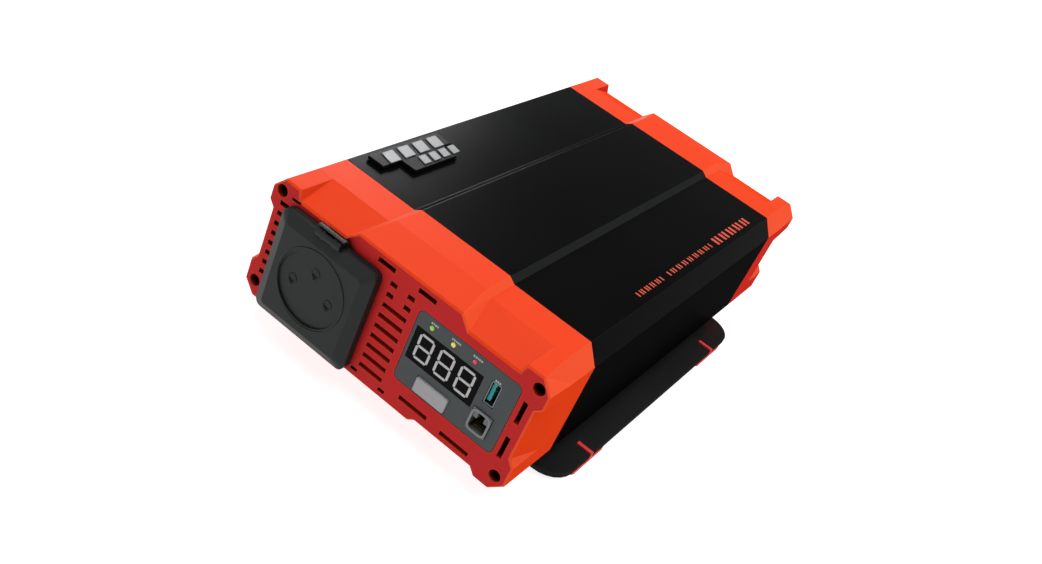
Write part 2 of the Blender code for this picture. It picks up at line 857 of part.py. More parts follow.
def make_socket_contacts():
    floor = socket_front + well_depth
    start, end = floor + 0.002, front + barrel_depth - 0.003
    outer = pin_hole_radius - gap
    inner = outer - contact_wall
    for side, name in ((-1, "socket_contact_live"), (1, "socket_contact_neutral")):
        profile = [(start, outer), (end, outer), (end, inner), (start, inner)]
        centre = (socket_x + side * pin_spacing / 2, socket_z)
        dress(turned(name, "y", centre, profile, 14, ring=True), "brass")
    clip = socket_z - well_radius
    half = clip_width / 2 - gap
    low = (socket_x - half, front, clip + clip_slot_start + gap)
    high = (socket_x + half, front + barrel_depth + 0.004, clip + clip_slot_end - gap)
    earth = block("socket_contact_earth", low, high)
    nose = [(front, clip + 0.0010), (front + 0.004, clip + 0.0034), (front + 0.008, clip + 0.0010)]
    join(earth, prism("nose", nose, "x", socket_x - 0.0016, socket_x + 0.0016))
    dress(earth, "brass")


def make_socket_lid():
    full = rectangle(socket_x, socket_z, socket_size, socket_size, socket_corner)
    small = socket_size - 2 * lid_bevel
    face = rectangle(socket_x, socket_z, small, small, socket_corner * 0.5)
    lid = loft(
        "socket_lid",
        [
            place(full, "y", lid_base),
            place(full, "y", lid_base - lid_side),
            place(inset(face, -0.0006), "y", lid_face + 0.0003),
            place(face, "y", lid_face),
        ],
    )
    hollow = inset(full, lid_wall)
    deep = inset(face, lid_wall * 0.4)
    shell = [
        place(hollow, "y", lid_base + 0.001),
        place(hollow, "y", lid_base - lid_side + lid_wall * 0.4),
        place(deep, "y", lid_face + lid_wall + 0.0002),
    ]
    cut(lid, loft("hollow", shell))
    recess = [(lid_face - 0.001, well_radius), (lid_face + lid_recess, well_radius - 0.0005)]
    cut(lid, turned("recess", "y", (socket_x, socket_z), recess, 40))
    marks = []
    for x, z in ((-mark_spread, -mark_drop), (mark_spread, -mark_drop), (0, mark_rise)):
        depths = [(lid_face, mark_radius), (lid_face + lid_recess + 0.0004, mark_radius)]
        marks.append(turned("mark", "y", (socket_x + x, socket_z + z), depths, 14))
    cut(lid, *marks)
    low = (socket_x - hinge_half - gap, lid_face - 0.001, hinge_z - hinge_radius - gap)
    cut(lid, block("notch", low, (socket_x + hinge_half + gap, lid_base + 0.001, hinge_z + 0.01)))
    for side in (-1, 1):
        xs = sorted((socket_x + side * lid_knuckle_near, socket_x + side * lid_knuckle_far))
        low = (xs[0], hinge_y - hinge_radius * 0.8, hinge_z - hinge_radius - 2 * gap)
        join(lid, block("web", low, (xs[1], hinge_y + hinge_radius * 0.8, hinge_z)))
        join(lid, turned("knuckle", "x", (hinge_y, hinge_z), [(x, hinge_radius) for x in xs], 16))
    bore = [(socket_x + side * hinge_half, hinge_pin_radius + gap) for side in (-1, 1)]
    cut(lid, turned("bore", "x", (hinge_y, hinge_z), bore, 12))
    dress(lid, "black_plastic", (socket_x, hinge_y, hinge_z))


def make_lid_hinge():
    pin = [(socket_x - hinge_half, hinge_pin_radius), (socket_x + hinge_half, hinge_pin_radius)]
    dress(turned("lid_hinge_pin", "x", (hinge_y, hinge_z), pin, 12), "steel")
    coil = hinge_pin_radius + gap + spring_wire + 0.0001
    steps = spring_turns * 12
    path = []
    for step in range(steps + 1):
        angle = 2 * math.pi * spring_turns * step / steps
        x = socket_x - spring_width / 2 + spring_width * step / steps
        path.append((x, hinge_y + coil * math.cos(angle), hinge_z + coil * math.sin(angle)))
    dress(sweep("lid_spring", path, circle(0, 0, spring_wire, 5)), "steel")


# ---------------------------------------------------------------- control panel
def panel_spots():
    """Middles of the panel's window, lights, button and ports."""
    light_z = panel_top - light_drop
    window_x = panel_left + window_inset + window_width / 2
    return {
        "window": (window_x, panel_top - window_drop - window_height / 2),
        "lights": [(panel_left + light_inset + index * light_pitch, light_z) for index in range(3)],
        "button": (panel_left + button_inset + button_width / 2, panel_bottom + button_rise),
        "usb": (panel_right - usb_from_right, panel_top - usb_drop),
        "jack": (panel_right - jack_from_right, panel_bottom + jack_rise),
    }


def make_control_panel():
    spots = panel_spots()
    x, z = (panel_left + panel_right) / 2, (panel_top + panel_bottom) / 2
    outline = rectangle(x, z, panel_width, panel_height, panel_corner)
    panel = prism("control_panel", outline, "y", front, front + panel_thick)
    rim = rectangle(x, z, panel_width + 2 * panel_rim, panel_height + 2 * panel_rim, panel_corner)
    join(panel, prism("rim", rim, "y", front + cap_wall + gap, front + cap_wall + rim_end))
    depth = (front - 0.001, front + cap_wall + 0.003)
    sizes = {
        "window": (window_width, window_height),
        "button": (button_width, button_height),
        "usb": (usb_width, usb_height),
        "jack": (jack_width, jack_height),
    }
    holes = []
    for name, (width, height) in sizes.items():
        outline = rectangle(*spots[name], width + 2 * gap, height + 2 * gap)
        holes.append(prism("hole", outline, "y", *depth))
    for spot in spots["lights"]:
        holes.append(turned("hole", "y", spot, [(y, light_radius + gap) for y in depth], 12))
    cut(panel, *holes)
    dress(panel, "grey_plastic")


def make_display():
    x, z = panel_spots()["window"]
    window = rectangle(x, z, window_width, window_height)
    dress(prism("display_window", window, "y", front + 0.0004, front + 0.0020), "smoked_window")
    low = (x - window_width / 2 + gap, front + 0.0028, z - window_height / 2 + gap)
    high = (x + window_width / 2 - gap, back_of_parts, z + window_height / 2 - gap)
    module = block("display_module", low, high)
    windows = []
    for index in (-1, 0, 1):
        for side in (-1, 1):
            spot = (x + index * digit_pitch, z + side * digit_height / 4)
            outline = rectangle(*spot, digit_width * 0.6, digit_height * 0.3)
            windows.append(prism("recess", outline, "y", front + 0.001, front + 0.0032))
    cut(module, *windows)
    dress(module, "light_grey_plastic")


def make_status_lights():
    spots = panel_spots()["lights"]
    for spot, name in zip(spots, ("green_light", "yellow_light", "red_light")):
        profile = [
            (front - 0.0006, 0.4 * light_radius),
            (front - 0.0002, light_radius),
            (back_of_parts, light_radius),
        ]
        dress(turned(name, "y", spot, profile, 12), name)


def make_power_button():
    x, z = panel_spots()["button"]
    wide, tall = button_width / 2, button_height / 2
    inner = front + cap_wall + rim_end + gap
    outline = rectangle(x, z, button_width, button_height, 0.0008, 2)
    edge = inset(outline, 0.0004)
    cap = loft(
        "power_button",
        [
            place(edge, "y", front - button_proud),
            place(outline, "y", front - button_proud + 0.0004),
            place(outline, "y", inner + 0.0004),
        ],
    )
    low = (x - wide - 0.0010, inner, z - tall - 0.0010)
    join(cap, block("collar", low, (x + wide + 0.0010, inner + 0.0014, z + tall + 0.0010)))
    stem_end = display_board_y - plunger_reach - button_travel - gap
    join(cap, block("stem", (x - 0.002, inner + 0.0007, z - 0.002), (x + 0.002, stem_end, z + 0.002)))
    dress(cap, "light_grey_plastic", (x, front - button_proud, z))
    low = (x - switch_half, display_board_y - switch_depth, z - 0.0035)
    switch = block("power_switch", low, (x + switch_half, back_of_parts, z + 0.0035))
    start, end = display_board_y - plunger_reach, display_board_y - switch_depth + 0.0005
    plunger = [(start, plunger_radius), (end, plunger_radius)]
    join(switch, turned("plunger", "y", (x, z), plunger, 12))
    dress(switch, "black_plastic")


def make_usb_port():
    x, z = panel_spots()["usb"]
    outside = rectangle(x, z, usb_width, usb_height, 0.0006, 2)
    shell = prism("usb_shell", outside, "y", front + 0.0003, back_of_parts)
    inside = rectangle(x, z, usb_width - 2 * usb_wall, usb_height - 2 * usb_wall)
    cut(shell, prism("inside", inside, "y", front - 0.001, back_of_parts - 0.002))
    dress(shell, "steel")
    side = x - usb_width / 2 + usb_wall + gap
    half = usb_height / 2 - usb_wall - 0.0010
    low = (side, front + tongue_start, z - half)
    high = (side + tongue_thick, back_of_parts - 0.002 - gap, z + half)
    dress(block("usb_tongue", low, high), "teal_plastic")


def make_jack():
    x, z = panel_spots()["jack"]
    outside = rectangle(x, z, jack_width, jack_height)
    jack = prism("modular_jack", outside, "y", front - 0.0005, back_of_parts)
    inside_width = jack_width - 2 * jack_wall
    low_z = z - jack_height / 2 + jack_wall
    plug = rectangle(x, low_z + jack_plug_height / 2, inside_width, jack_plug_height)
    latch_z = low_z + jack_plug_height + 0.0014
    latch = rectangle(x, latch_z, inside_width * 0.40, jack_latch_height)
    cut(jack, prism("plug", plug, "y", front - 0.002, back_of_parts - 0.002))
    cut(jack, prism("latch", latch, "y", front - 0.002, back_of_parts - 0.006))
    dress(jack, "black_plastic")


def make_display_board():
    low = (panel_left + 0.001, display_board_y, panel_bottom + 0.001)
    high = (panel_right - 0.001, display_board_y + board_thick, panel_top - 0.001)
    dress(block("display_board", low, high), "circuit_board")
    x = panel_left + 0.022
    start = display_board_y + board_thick + gap
    path = bezier(
        (x, start, panel_bottom + 0.012),
        (x, start + 0.012, panel_bottom + 0.010),
        (x, board_front - 0.006, board_top + 0.012),
        (x, board_front + 0.010, board_top + 0.0006),
        10,
    )
    top = [(point.y, point.z) for point in path]
    closed = top + [(a - 0.03, b - 0.03) for a, b in top[::-1]]
    bottom = inset(closed, ribbon_thick)[: len(top)]
    outline = top + bottom[::-1]
    dress(prism("display_ribbon", outline, "x", x - ribbon_width / 2, x + ribbon_width / 2), "ribbon")


# ---------------------------------------------------------------- fan
def make_fan():
    back = rear - cap_wall - gap
    inside = back - fan_depth
    bore = fan_size / 2 - fan_wall
    frame = prism("fan_frame", rectangle(fan_x, mid_z, fan_size, fan_size, 0.004, 3), "y", inside, back)
    cut(frame, turned("bore", "y", (fan_x, mid_z), [(inside - 0.001, bore), (back + 0.001, bore)], 32))
    motor = [(inside, hub_radius), (inside + 0.0025, hub_radius)]
    spokes = []
    for turn in range(2):
        spoke = block("spoke", (-bore - 0.0008, inside, -0.0012), (bore + 0.0008, inside + 0.002, 0.0012))
        spoke.data.transform(Matrix.Rotation(math.pi / 4 + turn * math.pi / 2, 4, "Y"))
        spoke.data.transform(Matrix.Translation((fan_x, 0, mid_z)))
        spokes.append(spoke)
    join(frame, turned("motor", "y", (fan_x, mid_z), motor, 24), *spokes)
    dress(frame, "black_plastic")
    make_fan_rotor(inside + 0.0025 + gap + 0.0003, back - 0.0015, bore - 0.0008)


def make_fan_rotor(start, end, tip):
    """A hub with blades whose pitch flattens towards the tip."""
    profile = [(start, hub_radius), (end - 0.001, hub_radius), (end, hub_radius - 0.001)]
    rotor = turned("fan_rotor", "y", (0, 0), profile, 28)
    half_depth = (end - start) / 2 - 0.0006
    middle_y = (start + end) / 2
    edge, core = blade_thick / 2, blade_thick * 0.875
    corners = ((-1, -edge), (0, -core), (1, -edge), (1, edge), (0, core), (-1, edge))
    for index in range(blade_count):
        sections = []
        for radius, pitch in ((hub_radius - 0.001, 52), (0.62 * tip, 44), (tip, 34)):
            slope = math.radians(pitch)
            half_chord = half_depth / math.sin(slope) * 0.92
            section = []
            for along, thick in corners:
                across = along * half_chord * math.cos(slope) - thick * math.sin(slope)
                y = middle_y + along * half_chord * math.sin(slope) + thick * math.cos(slope)
                flat = Vector((across, 0, math.sqrt(max(radius**2 - across**2, 0))))
                section.append((flat.x, y, flat.z))
            sections.append(section)
        blade = loft("blade", sections)
        blade.data.transform(Matrix.Rotation(2 * math.pi * index / blade_count, 4, "Y"))
        join(rotor, blade)
    rotor.data.transform(Matrix.Translation((fan_x, 0, mid_z)))
    dress(rotor, "black_plastic", (fan_x, middle_y, mid_z))


# ---------------------------------------------------------------- battery terminals
def make_terminals():
    outline = rectangle(plate_x, stud_z, plate_width, plate_height, 0.003, 3)
    plate = prism("terminal_block", outline, "y", rear + gap, rear + gap + plate_thick)
    low = (plate_x - barrier_thick / 2, rear + gap + plate_thick - 0.001, stud_z - plate_height / 2 + 0.002)
    high = (plate_x + barrier_thick / 2, rear + gap + barrier_height, stud_z + plate_height / 2 - 0.002)
    join(plate, block("barrier", low, high))
    depth = (rear - 0.001, rear + plate_thick + 0.002)
    stud_hole = [(y, stud_radius + gap) for y in depth]
    cut(plate, *[turned("hole", "y", (x, stud_z), stud_hole, 16) for x in stud_xs])
    dress(plate, "black_plastic")
    for x, pole, finish in zip(stud_xs, ("positive", "negative"), ("red_plastic", "black_plastic")):
        make_terminal(x, pole, finish)


def make_terminal(x, pole, finish):
    centre = (x, stud_z)
    tip = rear + knob_start + knob_length - knob_travel
    stud = [
        (rear - stud_inside, stud_radius),
        (rear - cap_wall - gap - 0.004, stud_radius),
        (rear - cap_wall - gap - 0.004, collar_radius),
        (rear - cap_wall - gap, collar_radius),
        (rear - cap_wall - gap, stud_radius),
        (rear + collar_start, stud_radius),
        (rear + collar_start, collar_radius),
        (rear + collar_start + collar_thick, collar_radius),
        (rear + collar_start + collar_thick, stud_radius),
        (tip - 0.0008, stud_radius),
        (tip, stud_radius - 0.0008),
    ]
    dress(turned(f"stud_{pole}", "y", centre, stud, 18), "brass")
    start, end = rear + washer_start, rear + washer_start + washer_thick
    bore = stud_radius + gap
    washer = [(start, washer_radius), (end, washer_radius), (end, bore), (start, bore)]
    washer_origin = (x, start, stud_z)
    dress(turned(f"clamp_washer_{pole}", "y", centre, washer, 24, ring=True), "brass", washer_origin)
    start, end = rear + knob_start, rear + knob_reach
    sections = []
    for y, shrink in ((start, 0.0006), (start + 0.001, 0), (end - 0.0014, 0), (end, 0.0016)):
        outline = []
        for step in range(knob_flutes * 4):
            angle = 2 * math.pi * step / (knob_flutes * 4)
            radius = knob_radius - shrink - (0.0008 if step % 4 in (0, 1) else 0)
            outline.append((x + radius * math.cos(angle), stud_z + radius * math.sin(angle)))
        sections.append(place(outline, "y", y))
    knob = loft(f"knob_{pole}", sections)
    cut(knob, turned("bore", "y", centre, [(start - 0.001, bore), (tip + 2 * gap, bore)], 18))
    dress(knob, finish, (x, start, stud_z))


def make_earth_screw():
    profile = [
        (rear - 0.012, 0.0020),
        (rear + gap, 0.0020),
        (rear + gap, 0.0062),
        (rear + gap + 0.0010, 0.0062),
        (rear + gap + 0.0010, 0.0045),
        (rear + gap + 0.0036, 0.0045),
        (rear + gap + 0.0042, 0.0036),
    ]
    screw = turned("earth_screw", "y", (0, case_bottom + earth_rise), profile, 18)
    low = (-0.0040, rear + gap + 0.0032, case_bottom + earth_rise - 0.0005)
    cut(screw, block("drive", low, (0.0040, rear + 0.01, case_bottom + earth_rise + 0.0005)))
    dress(screw, "brass")


# ---------------------------------------------------------------- inside the case
def make_main_board():
    half = half_width - main_board_margin - case_wall
    low = (-half, board_front, board_z)
    dress(block("main_board", low, (half, board_rear, board_z + board_thick)), "circuit_board")


def make_transformers():
    y = board_rear - 0.010 - core_depth / 2 - winding_build
    for side, name in ((-1, "left"), (1, "right")):
        x = side * (core_width / 2 + 0.002)
        low = (x - core_width / 2, y - core_depth / 2, board_top)
        high = (x + core_width / 2, y + core_depth / 2, board_top + core_height)
        core = block(f"transformer_core_{name}", low, high)
        leg_side = core_leg / 2
        window = (core_width / 2 - core_yoke) - leg_side
        windows = []
        for way in (-1, 1):
            middle_x = x + way * (leg_side + window / 2)
            outline = rectangle(middle_x, board_top + core_height / 2, window, core_height - 2 * core_yoke)
            windows.append(prism("window", outline, "y", y - core_depth, y + core_depth))
        cut(core, *windows)
        dress(core, "ferrite")
        hole = (core_leg + 4 * gap, core_depth + 4 * gap)
        build = min(winding_build, window - 3 * gap)
        outer = rectangle(x, y, hole[0] + 2 * build, hole[1] + 2 * build, 0.005, 3)
        start, end = board_top + core_yoke + 2 * gap, board_top + core_height - core_yoke - 2 * gap
        winding = prism(f"transformer_winding_{name}", outer, "z", start, end)
        cut(winding, prism("hole", rectangle(x, y, *hole), "z", start - 0.001, end + 0.001))
        dress(winding, "copper_wire")


def make_capacitors():
    y = board_front + 0.012 + capacitor_radius
    top = board_top + capacitor_height
    for side, name in ((-1, "left"), (1, "right")):
        profile = [
            (board_top, capacitor_radius - 0.001),
            (board_top + 0.001, capacitor_radius),
            (board_top + 0.003, capacitor_radius),
            (board_top + 0.004, capacitor_radius - 0.0008),
            (board_top + 0.005, capacitor_radius),
            (top - 0.001, capacitor_radius),
            (top, capacitor_radius - 0.001),
        ]
        centre = (side * (capacitor_radius + 0.0015), y)
        dress(turned(f"bulk_capacitor_{name}", "z", centre, profile, 20), "capacitor_sleeve")


def make_choke():
    x, y = half_width - 0.036, board_front + 0.018 + choke_radius
    z = board_top + choke_wire
    section = circle(0, 0, choke_wire, 10)
    path = [(a, b, z) for a, b in circle(x, y, choke_radius - choke_wire, 24)]
    dress(sweep("choke_coil", path, section, ring=True), "copper_wire")


def make_transistor_rows():
    """A clamp bar against each side wall, with a row of transistor packages on its inner face."""
    start, end = board_front + 0.012, board_rear - 0.012
    low_z = screw_heights[0] + lower_boss_radius + 0.004
    count = int((end - start) / package_pitch)
    for side, name in ((-1, "left"), (1, "right")):
        wall = half_width - case_wall - gap
        xs = sorted((side * wall, side * (wall - clamp_thick)))
        row = block(f"transistor_row_{name}", (xs[0], start, low_z), (xs[1], end, low_z + clamp_height))
        inner = wall - clamp_thick
        ends = sorted((side * (inner + 0.001), side * (inner - package_thick)))
        for index in range(count):
            y = start + (end - start) * (index + 0.5) / count
            low = (ends[0], y - package_width / 2, low_z + 0.001)
            join(row, block("package", low, (ends[1], y + package_width / 2, low_z + package_height)))
        dress(row, "aluminium")


def make_cables():
    section = circle(0, 0, cable_radius, 10)
    for x, pole, finish in zip(stud_xs, ("positive", "negative"), ("red_plastic", "black_cable")):
        start = rear - stud_inside - gap
        end_y = board_rear - 0.005
        leave, arrive = (x, start - 0.020, stud_z), (x, end_y, stud_z)
        path = bezier((x, start, stud_z), leave, arrive, (x, end_y, board_top + gap), 10)
        dress(sweep(f"cable_{pole}", path, section), finish)
    start = front + barrel_depth + gap
    x = socket_x - 0.010
    start_z, end_y = socket_z + 0.010, board_front + 0.007
    leave, arrive = (x, start + 0.020, start_z), (x, end_y, socket_z)
    path = bezier((x, start, start_z), leave, arrive, (x, end_y, board_top + gap), 10)
    dress(sweep("output_cable", path, circle(0, 0, cable_radius * 0.85, 10)), "black_cable")


# ---------------------------------------------------------------- build
for leftover in list(bpy.context.scene.objects):
    bpy.data.objects.remove(leftover)
whole = bpy.data.objects.new("power_inverter", None)
bpy.context.scene.collection.objects.link(whole)

make_case_cover()
make_base_plate()
make_feet()
make_front_cap()
make_rear_cap()
make_cap_screws("front", front, 1)
make_cap_screws("rear", rear, -1)
make_badge()
make_socket_body()
make_socket_contacts()
make_socket_lid()
make_lid_hinge()
make_control_panel()
make_display()
make_status_lights()
make_power_button()
make_usb_port()
make_jack()
make_display_board()
make_fan()
make_terminals()
make_earth_screw()
make_main_board()
make_transformers()
make_capacitors()
make_choke()
make_transistor_rows()
make_cables()
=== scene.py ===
"""Looks of the power inverter: its finishes, printed marks, lit digits and small fittings."""

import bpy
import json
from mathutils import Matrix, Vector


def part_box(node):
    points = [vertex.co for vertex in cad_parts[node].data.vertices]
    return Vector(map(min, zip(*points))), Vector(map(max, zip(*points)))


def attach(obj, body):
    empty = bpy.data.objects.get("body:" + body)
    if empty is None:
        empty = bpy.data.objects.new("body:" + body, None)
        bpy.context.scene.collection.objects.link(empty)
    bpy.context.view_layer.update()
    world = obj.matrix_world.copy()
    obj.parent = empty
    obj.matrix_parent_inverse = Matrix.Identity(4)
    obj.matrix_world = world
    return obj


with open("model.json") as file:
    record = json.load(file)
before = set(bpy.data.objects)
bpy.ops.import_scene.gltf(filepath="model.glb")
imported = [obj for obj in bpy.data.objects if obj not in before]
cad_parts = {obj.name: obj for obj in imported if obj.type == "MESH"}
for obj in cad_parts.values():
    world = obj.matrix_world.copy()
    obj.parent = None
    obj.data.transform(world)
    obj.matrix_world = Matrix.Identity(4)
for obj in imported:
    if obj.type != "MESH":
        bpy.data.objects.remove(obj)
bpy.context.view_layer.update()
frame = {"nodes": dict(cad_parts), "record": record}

import json
import math

import bmesh
import bpy
from mathutils import Matrix, Vector

scene = bpy.context.scene
nodes = frame["nodes"]
MM = 0.001


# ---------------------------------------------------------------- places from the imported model
def centre_of(node):
    low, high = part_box(node)
    return (low + high) / 2


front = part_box("front_cap")[0].y
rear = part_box("rear_cap")[1].y
half_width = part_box("case_cover")[1].x
body_middle = (front + rear) / 2
badge_gap = 0.0003  # left between the badge plate and the shoulder
shoulder_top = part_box("badge_plate")[0].z - badge_gap


# ---------------------------------------------------------------- shader arithmetic
class Level:
    """A number in a material; arithmetic on levels adds Math nodes."""

    def __init__(self, finish, socket):
        self.finish = finish
        self.socket = socket

    def math(self, operation, *values):
        return self.finish.add("ShaderNodeMath", {"operation": operation}, dict(enumerate(values)))

    def __add__(self, other):
        return self.math("ADD", self, other)

    def __sub__(self, other):
        return self.math("SUBTRACT", self, other)

    def __rsub__(self, other):
        return self.math("SUBTRACT", other, self)

    def __mul__(self, other):
        return self.math("MULTIPLY", self, other)

    def __lt__(self, other):
        return self.math("LESS_THAN", self, other)

    __radd__ = __add__
    __rmul__ = __mul__

    def absolute(self):
        return self.math("ABSOLUTE", self)

    def clamped(self, low, high):
        """0 at low, 1 at high and above, straight between."""
        return self.finish.add(
            "ShaderNodeMapRange",
            {"clamp": True},
            {"Value": self, "From Min": low, "From Max": high},
        )


class Finish:
    """One material and its node tree."""

    def __init__(self, name, **constants):
        self.material = bpy.data.materials.new(name)
        self.material.use_nodes = True
        self.tree = self.material.node_tree
        self.shader = self.tree.nodes["Principled BSDF"]
        for socket, value in constants.items():
            self.shader.inputs[socket.replace("_", " ")].default_value = value

    def add(self, kind, settings=None, inputs=None, output=0):
        node = self.tree.nodes.new(kind)
        for setting, value in (settings or {}).items():
            setattr(node, setting, value)
        for socket, value in (inputs or {}).items():
            self.give(node.inputs[socket], value)
        return Level(self, node.outputs[output])

    def give(self, socket, value):
        if isinstance(value, Level):
            self.tree.links.new(value.socket, socket)
        elif isinstance(value, (tuple, list)) and socket.type == "RGBA":
            socket.default_value = (*value, 1)[:4]
        else:
            socket.default_value = value

    def feed(self, **values):
        """Links what changes over the surface to the shader."""
        for socket, value in values.items():
            self.give(self.shader.inputs[socket.replace("_", " ")], value)
        return self.material

    def place(self):
        return self.add("ShaderNodeTexCoord", output=3)

    def part(self, vector, axis):
        return self.add("ShaderNodeSeparateXYZ", inputs={0: vector}, output="XYZ".index(axis))

    def stretched(self, scale):
        return self.add(
            "ShaderNodeVectorMath", {"operation": "MULTIPLY"}, {0: self.place(), 1: scale}
        )

    def noise(self, scale, detail=2.0, roughness=0.5, vector=None):
        inputs = {"Vector": vector or self.place(), "Scale": scale, "Detail": detail}
        return self.add("ShaderNodeTexNoise", {}, {**inputs, "Roughness": roughness})

    def mix(self, share, first, second):
        return self.add(
            "ShaderNodeMix",
            {"data_type": "RGBA", "clamp_factor": True},
            {0: share, 6: first, 7: second},
            output=2,
        )

    def bump(self, height, depth, strength=1.0):
        inputs = {"Strength": strength, "Distance": depth, "Height": height}
        return self.add("ShaderNodeBump", {}, inputs)

    def edges(self, radius):
        """1 along the piece's sharp edges, 0 on its faces."""
        rounded = self.add("ShaderNodeBevel", {"samples": 4}, {"Radius": radius})
        flat = self.add("ShaderNodeNewGeometry", output=1)
        agree = self.add(
            "ShaderNodeVectorMath", {"operation": "DOT_PRODUCT"}, {0: rounded, 1: flat}, output=1
        )
        return (1 - agree).clamped(0.02, 0.16)

    def dull_where(self, mask):
        """Leaves the sheen off where the mask is 1, as on walls that face a bright floor."""
        plain = self.tree.nodes.new("ShaderNodeBsdfPrincipled")
        plain.inputs["Specular IOR Level"].default_value = 0
        for socket in ("Base Color", "Roughness", "Normal"):
            source = self.shader.inputs[socket].links[0].from_socket
            self.tree.links.new(source, plain.inputs[socket])
        shaders = {1: self.whole(self.shader), 2: self.whole(plain)}
        both = self.add("ShaderNodeMixShader", {}, {0: mask, **shaders})
        self.tree.links.new(both.socket, self.tree.nodes["Material Output"].inputs["Surface"])
        return self.material

    def whole(self, node):
        return Level(self, node.outputs[0])

    def towards(self, axis):
        """How squarely the surface faces along an axis: -1 to 1."""
        return self.part(self.add("ShaderNodeNewGeometry", output=1), axis)

    def facing(self, axis):
        """How squarely the surface faces along an axis, either way: 0 to 1."""
        return self.towards(axis).absolute()

    def hollows(self, reach):
        """Ambient occlusion: 1 deep inside slots and holes narrower than the reach, 0 on open faces;
        used to paint shade there.
        """
        return 1 - self.add("ShaderNodeAmbientOcclusion", {"samples": 8}, {"Distance": reach}, 1)


class Sky(Finish):
    """The studio's surroundings, as a node tree."""

    def __init__(self, world):
        world.use_nodes = True
        self.tree = world.node_tree
        self.shader = self.tree.nodes["Background"]

    def height(self):
        """Upward part of the direction looked in: 0 at the horizon, 1 overhead."""
        return self.part(self.add("ShaderNodeTexCoord", output=0), "Z")


def shade(colour, factor):
    """The same colour, darker below 1 and lighter above it."""
    return tuple(min(channel * factor, 1) for channel in colour)


# ---------------------------------------------------------------- finishes
def moulded_plastic(name, colour, roughness=0.42, grain=1500, depth=0.00003, rub=0.25, gloss=0.2):
    """Spark-eroded moulding grain, faint flow mottling and slightly polished edges."""
    finish = Finish(name, Specular_IOR_Level=gloss)
    cloud = finish.noise(38, 3)
    fine = finish.noise(grain, 2, 0.6)
    worn = finish.edges(0.0007)
    tone = finish.mix(cloud, shade(colour, 0.90), shade(colour, 1.10))
    tone = finish.mix(worn * rub, tone, shade(colour, 1.7))
    return finish.feed(
        Base_Color=tone,
        Roughness=roughness - 0.06 + cloud * 0.12 - worn * 0.10 + fine * 0.04,
        Normal=finish.bump(fine, depth, 0.5),
    )


def cap_plastic(name, wall_tone):
    """Orange-red moulding. Painted shade turns its end faces crimson, its slots near black and the rear
    cap's side walls darker; painted light makes its chamfers paler; its paler edges are partly rubbed
    wear, partly painted highlight.
    """
    finish = Finish(name, Specular_IOR_Level=0.05)
    cloud = finish.noise(22, 3)
    fine = finish.noise(1300, 2, 0.6)
    worn = finish.edges(0.0009)
    # Painted shade: the crimson that the end faces take in place of the orange.
    orange, shaded_crimson = (0.585, 0.039, 0.007), (0.42, 0.0145, 0.0175)
    # Painted light: the paler tone of the chamfers. The edge tone is partly rubbed wear, partly painted
    # highlight.
    lit_chamfer_tone, pale_edge_tone = (0.66, 0.080, 0.030), (0.66, 0.085, 0.030)
    # Painted shade: the near black deep inside the slots.
    slot_shade_tone = (0.016, 0.0015, 0.001)
    shaded_end_face = finish.facing("Y").clamped(0.80, 0.98)
    side = finish.facing("X")
    lit_chamfer_mask = side.clamped(0.40, 0.54) * (0.55 - side.clamped(0.86, 0.95) * 0.55)
    # Painted shade: the side walls take the wall tone, which is a darker crimson on the rear cap.
    tone = finish.mix(side.clamped(0.88, 0.96), orange, wall_tone)
    tone = finish.mix(lit_chamfer_mask, tone, lit_chamfer_tone)
    tone = finish.mix(shaded_end_face, tone, shaded_crimson)
    tone = finish.mix(cloud * 0.22, tone, shade(orange, 0.80))
    # Paler edges: partly rubbed wear, partly painted highlight along the creases.
    tone = finish.mix(worn * 0.35, tone, pale_edge_tone)
    # Painted shade: ambient occlusion darkens the slots.
    tone = finish.mix(finish.hollows(0.008).clamped(0.36, 0.72), tone, slot_shade_tone)
    finish.feed(
        Base_Color=tone,
        Roughness=0.40 + cloud * 0.10 - worn * 0.08 + fine * 0.05,
        Normal=finish.bump(fine, 0.00003, 0.5),
    )
    walls, rear_slopes = side.clamped(0.60, 0.90), finish.towards("Y").clamped(0.06, 0.20)
    return finish.dull_where(walls + rear_slopes * (1 - walls))


def case_coat(name, depth):
    """Satin black coat over the extrusion, with faint die lines, a fine peel, paler edges and a paler
    band step, which is painted light on the right-facing slopes.
    """
    finish = Finish(name, Specular_IOR_Level=0.04)
    peel = finish.noise(900, 2, 0.55)
    lines = finish.noise(1.0, 2, 0.6, finish.stretched((1400, 4, 1400)))
    cloud = finish.noise(14, 3)
    worn = finish.edges(0.0006)
    darker = (depth * 0.7, depth * 0.72, depth * 0.72)
    lighter = (depth * 1.3, depth * 1.34, depth * 1.34)
    # Painted light: the paler tone of the right-facing band step. The edge tone is paler.
    lit_step_tone, pale_edge_tone = (0.0110, 0.0115, 0.0115), (0.022, 0.023, 0.023)
    right = finish.towards("X")
    step = right.clamped(0.40, 0.52) * (1 - right.clamped(0.62, 0.74))
    tone = finish.mix(cloud, darker, lighter)
    # Painted light on the right-facing band step.
    tone = finish.mix(step, tone, lit_step_tone)
    tone = finish.mix(worn * 0.45, tone, pale_edge_tone)
    finish.feed(
        Base_Color=tone,
        Roughness=0.22 + cloud * 0.05 + lines * 0.02,
        Normal=finish.bump(peel * 0.9 + lines * 0.1, 0.00002, 0.10),
    )
    left = (-1 * right).clamped(0.30, 0.50)
    slopes, walls = right.clamped(0.30, 0.62), finish.facing("X").clamped(0.90, 0.97)
    return finish.dull_where(slopes * 0.70 + left * 0.92 + walls * 0.28)


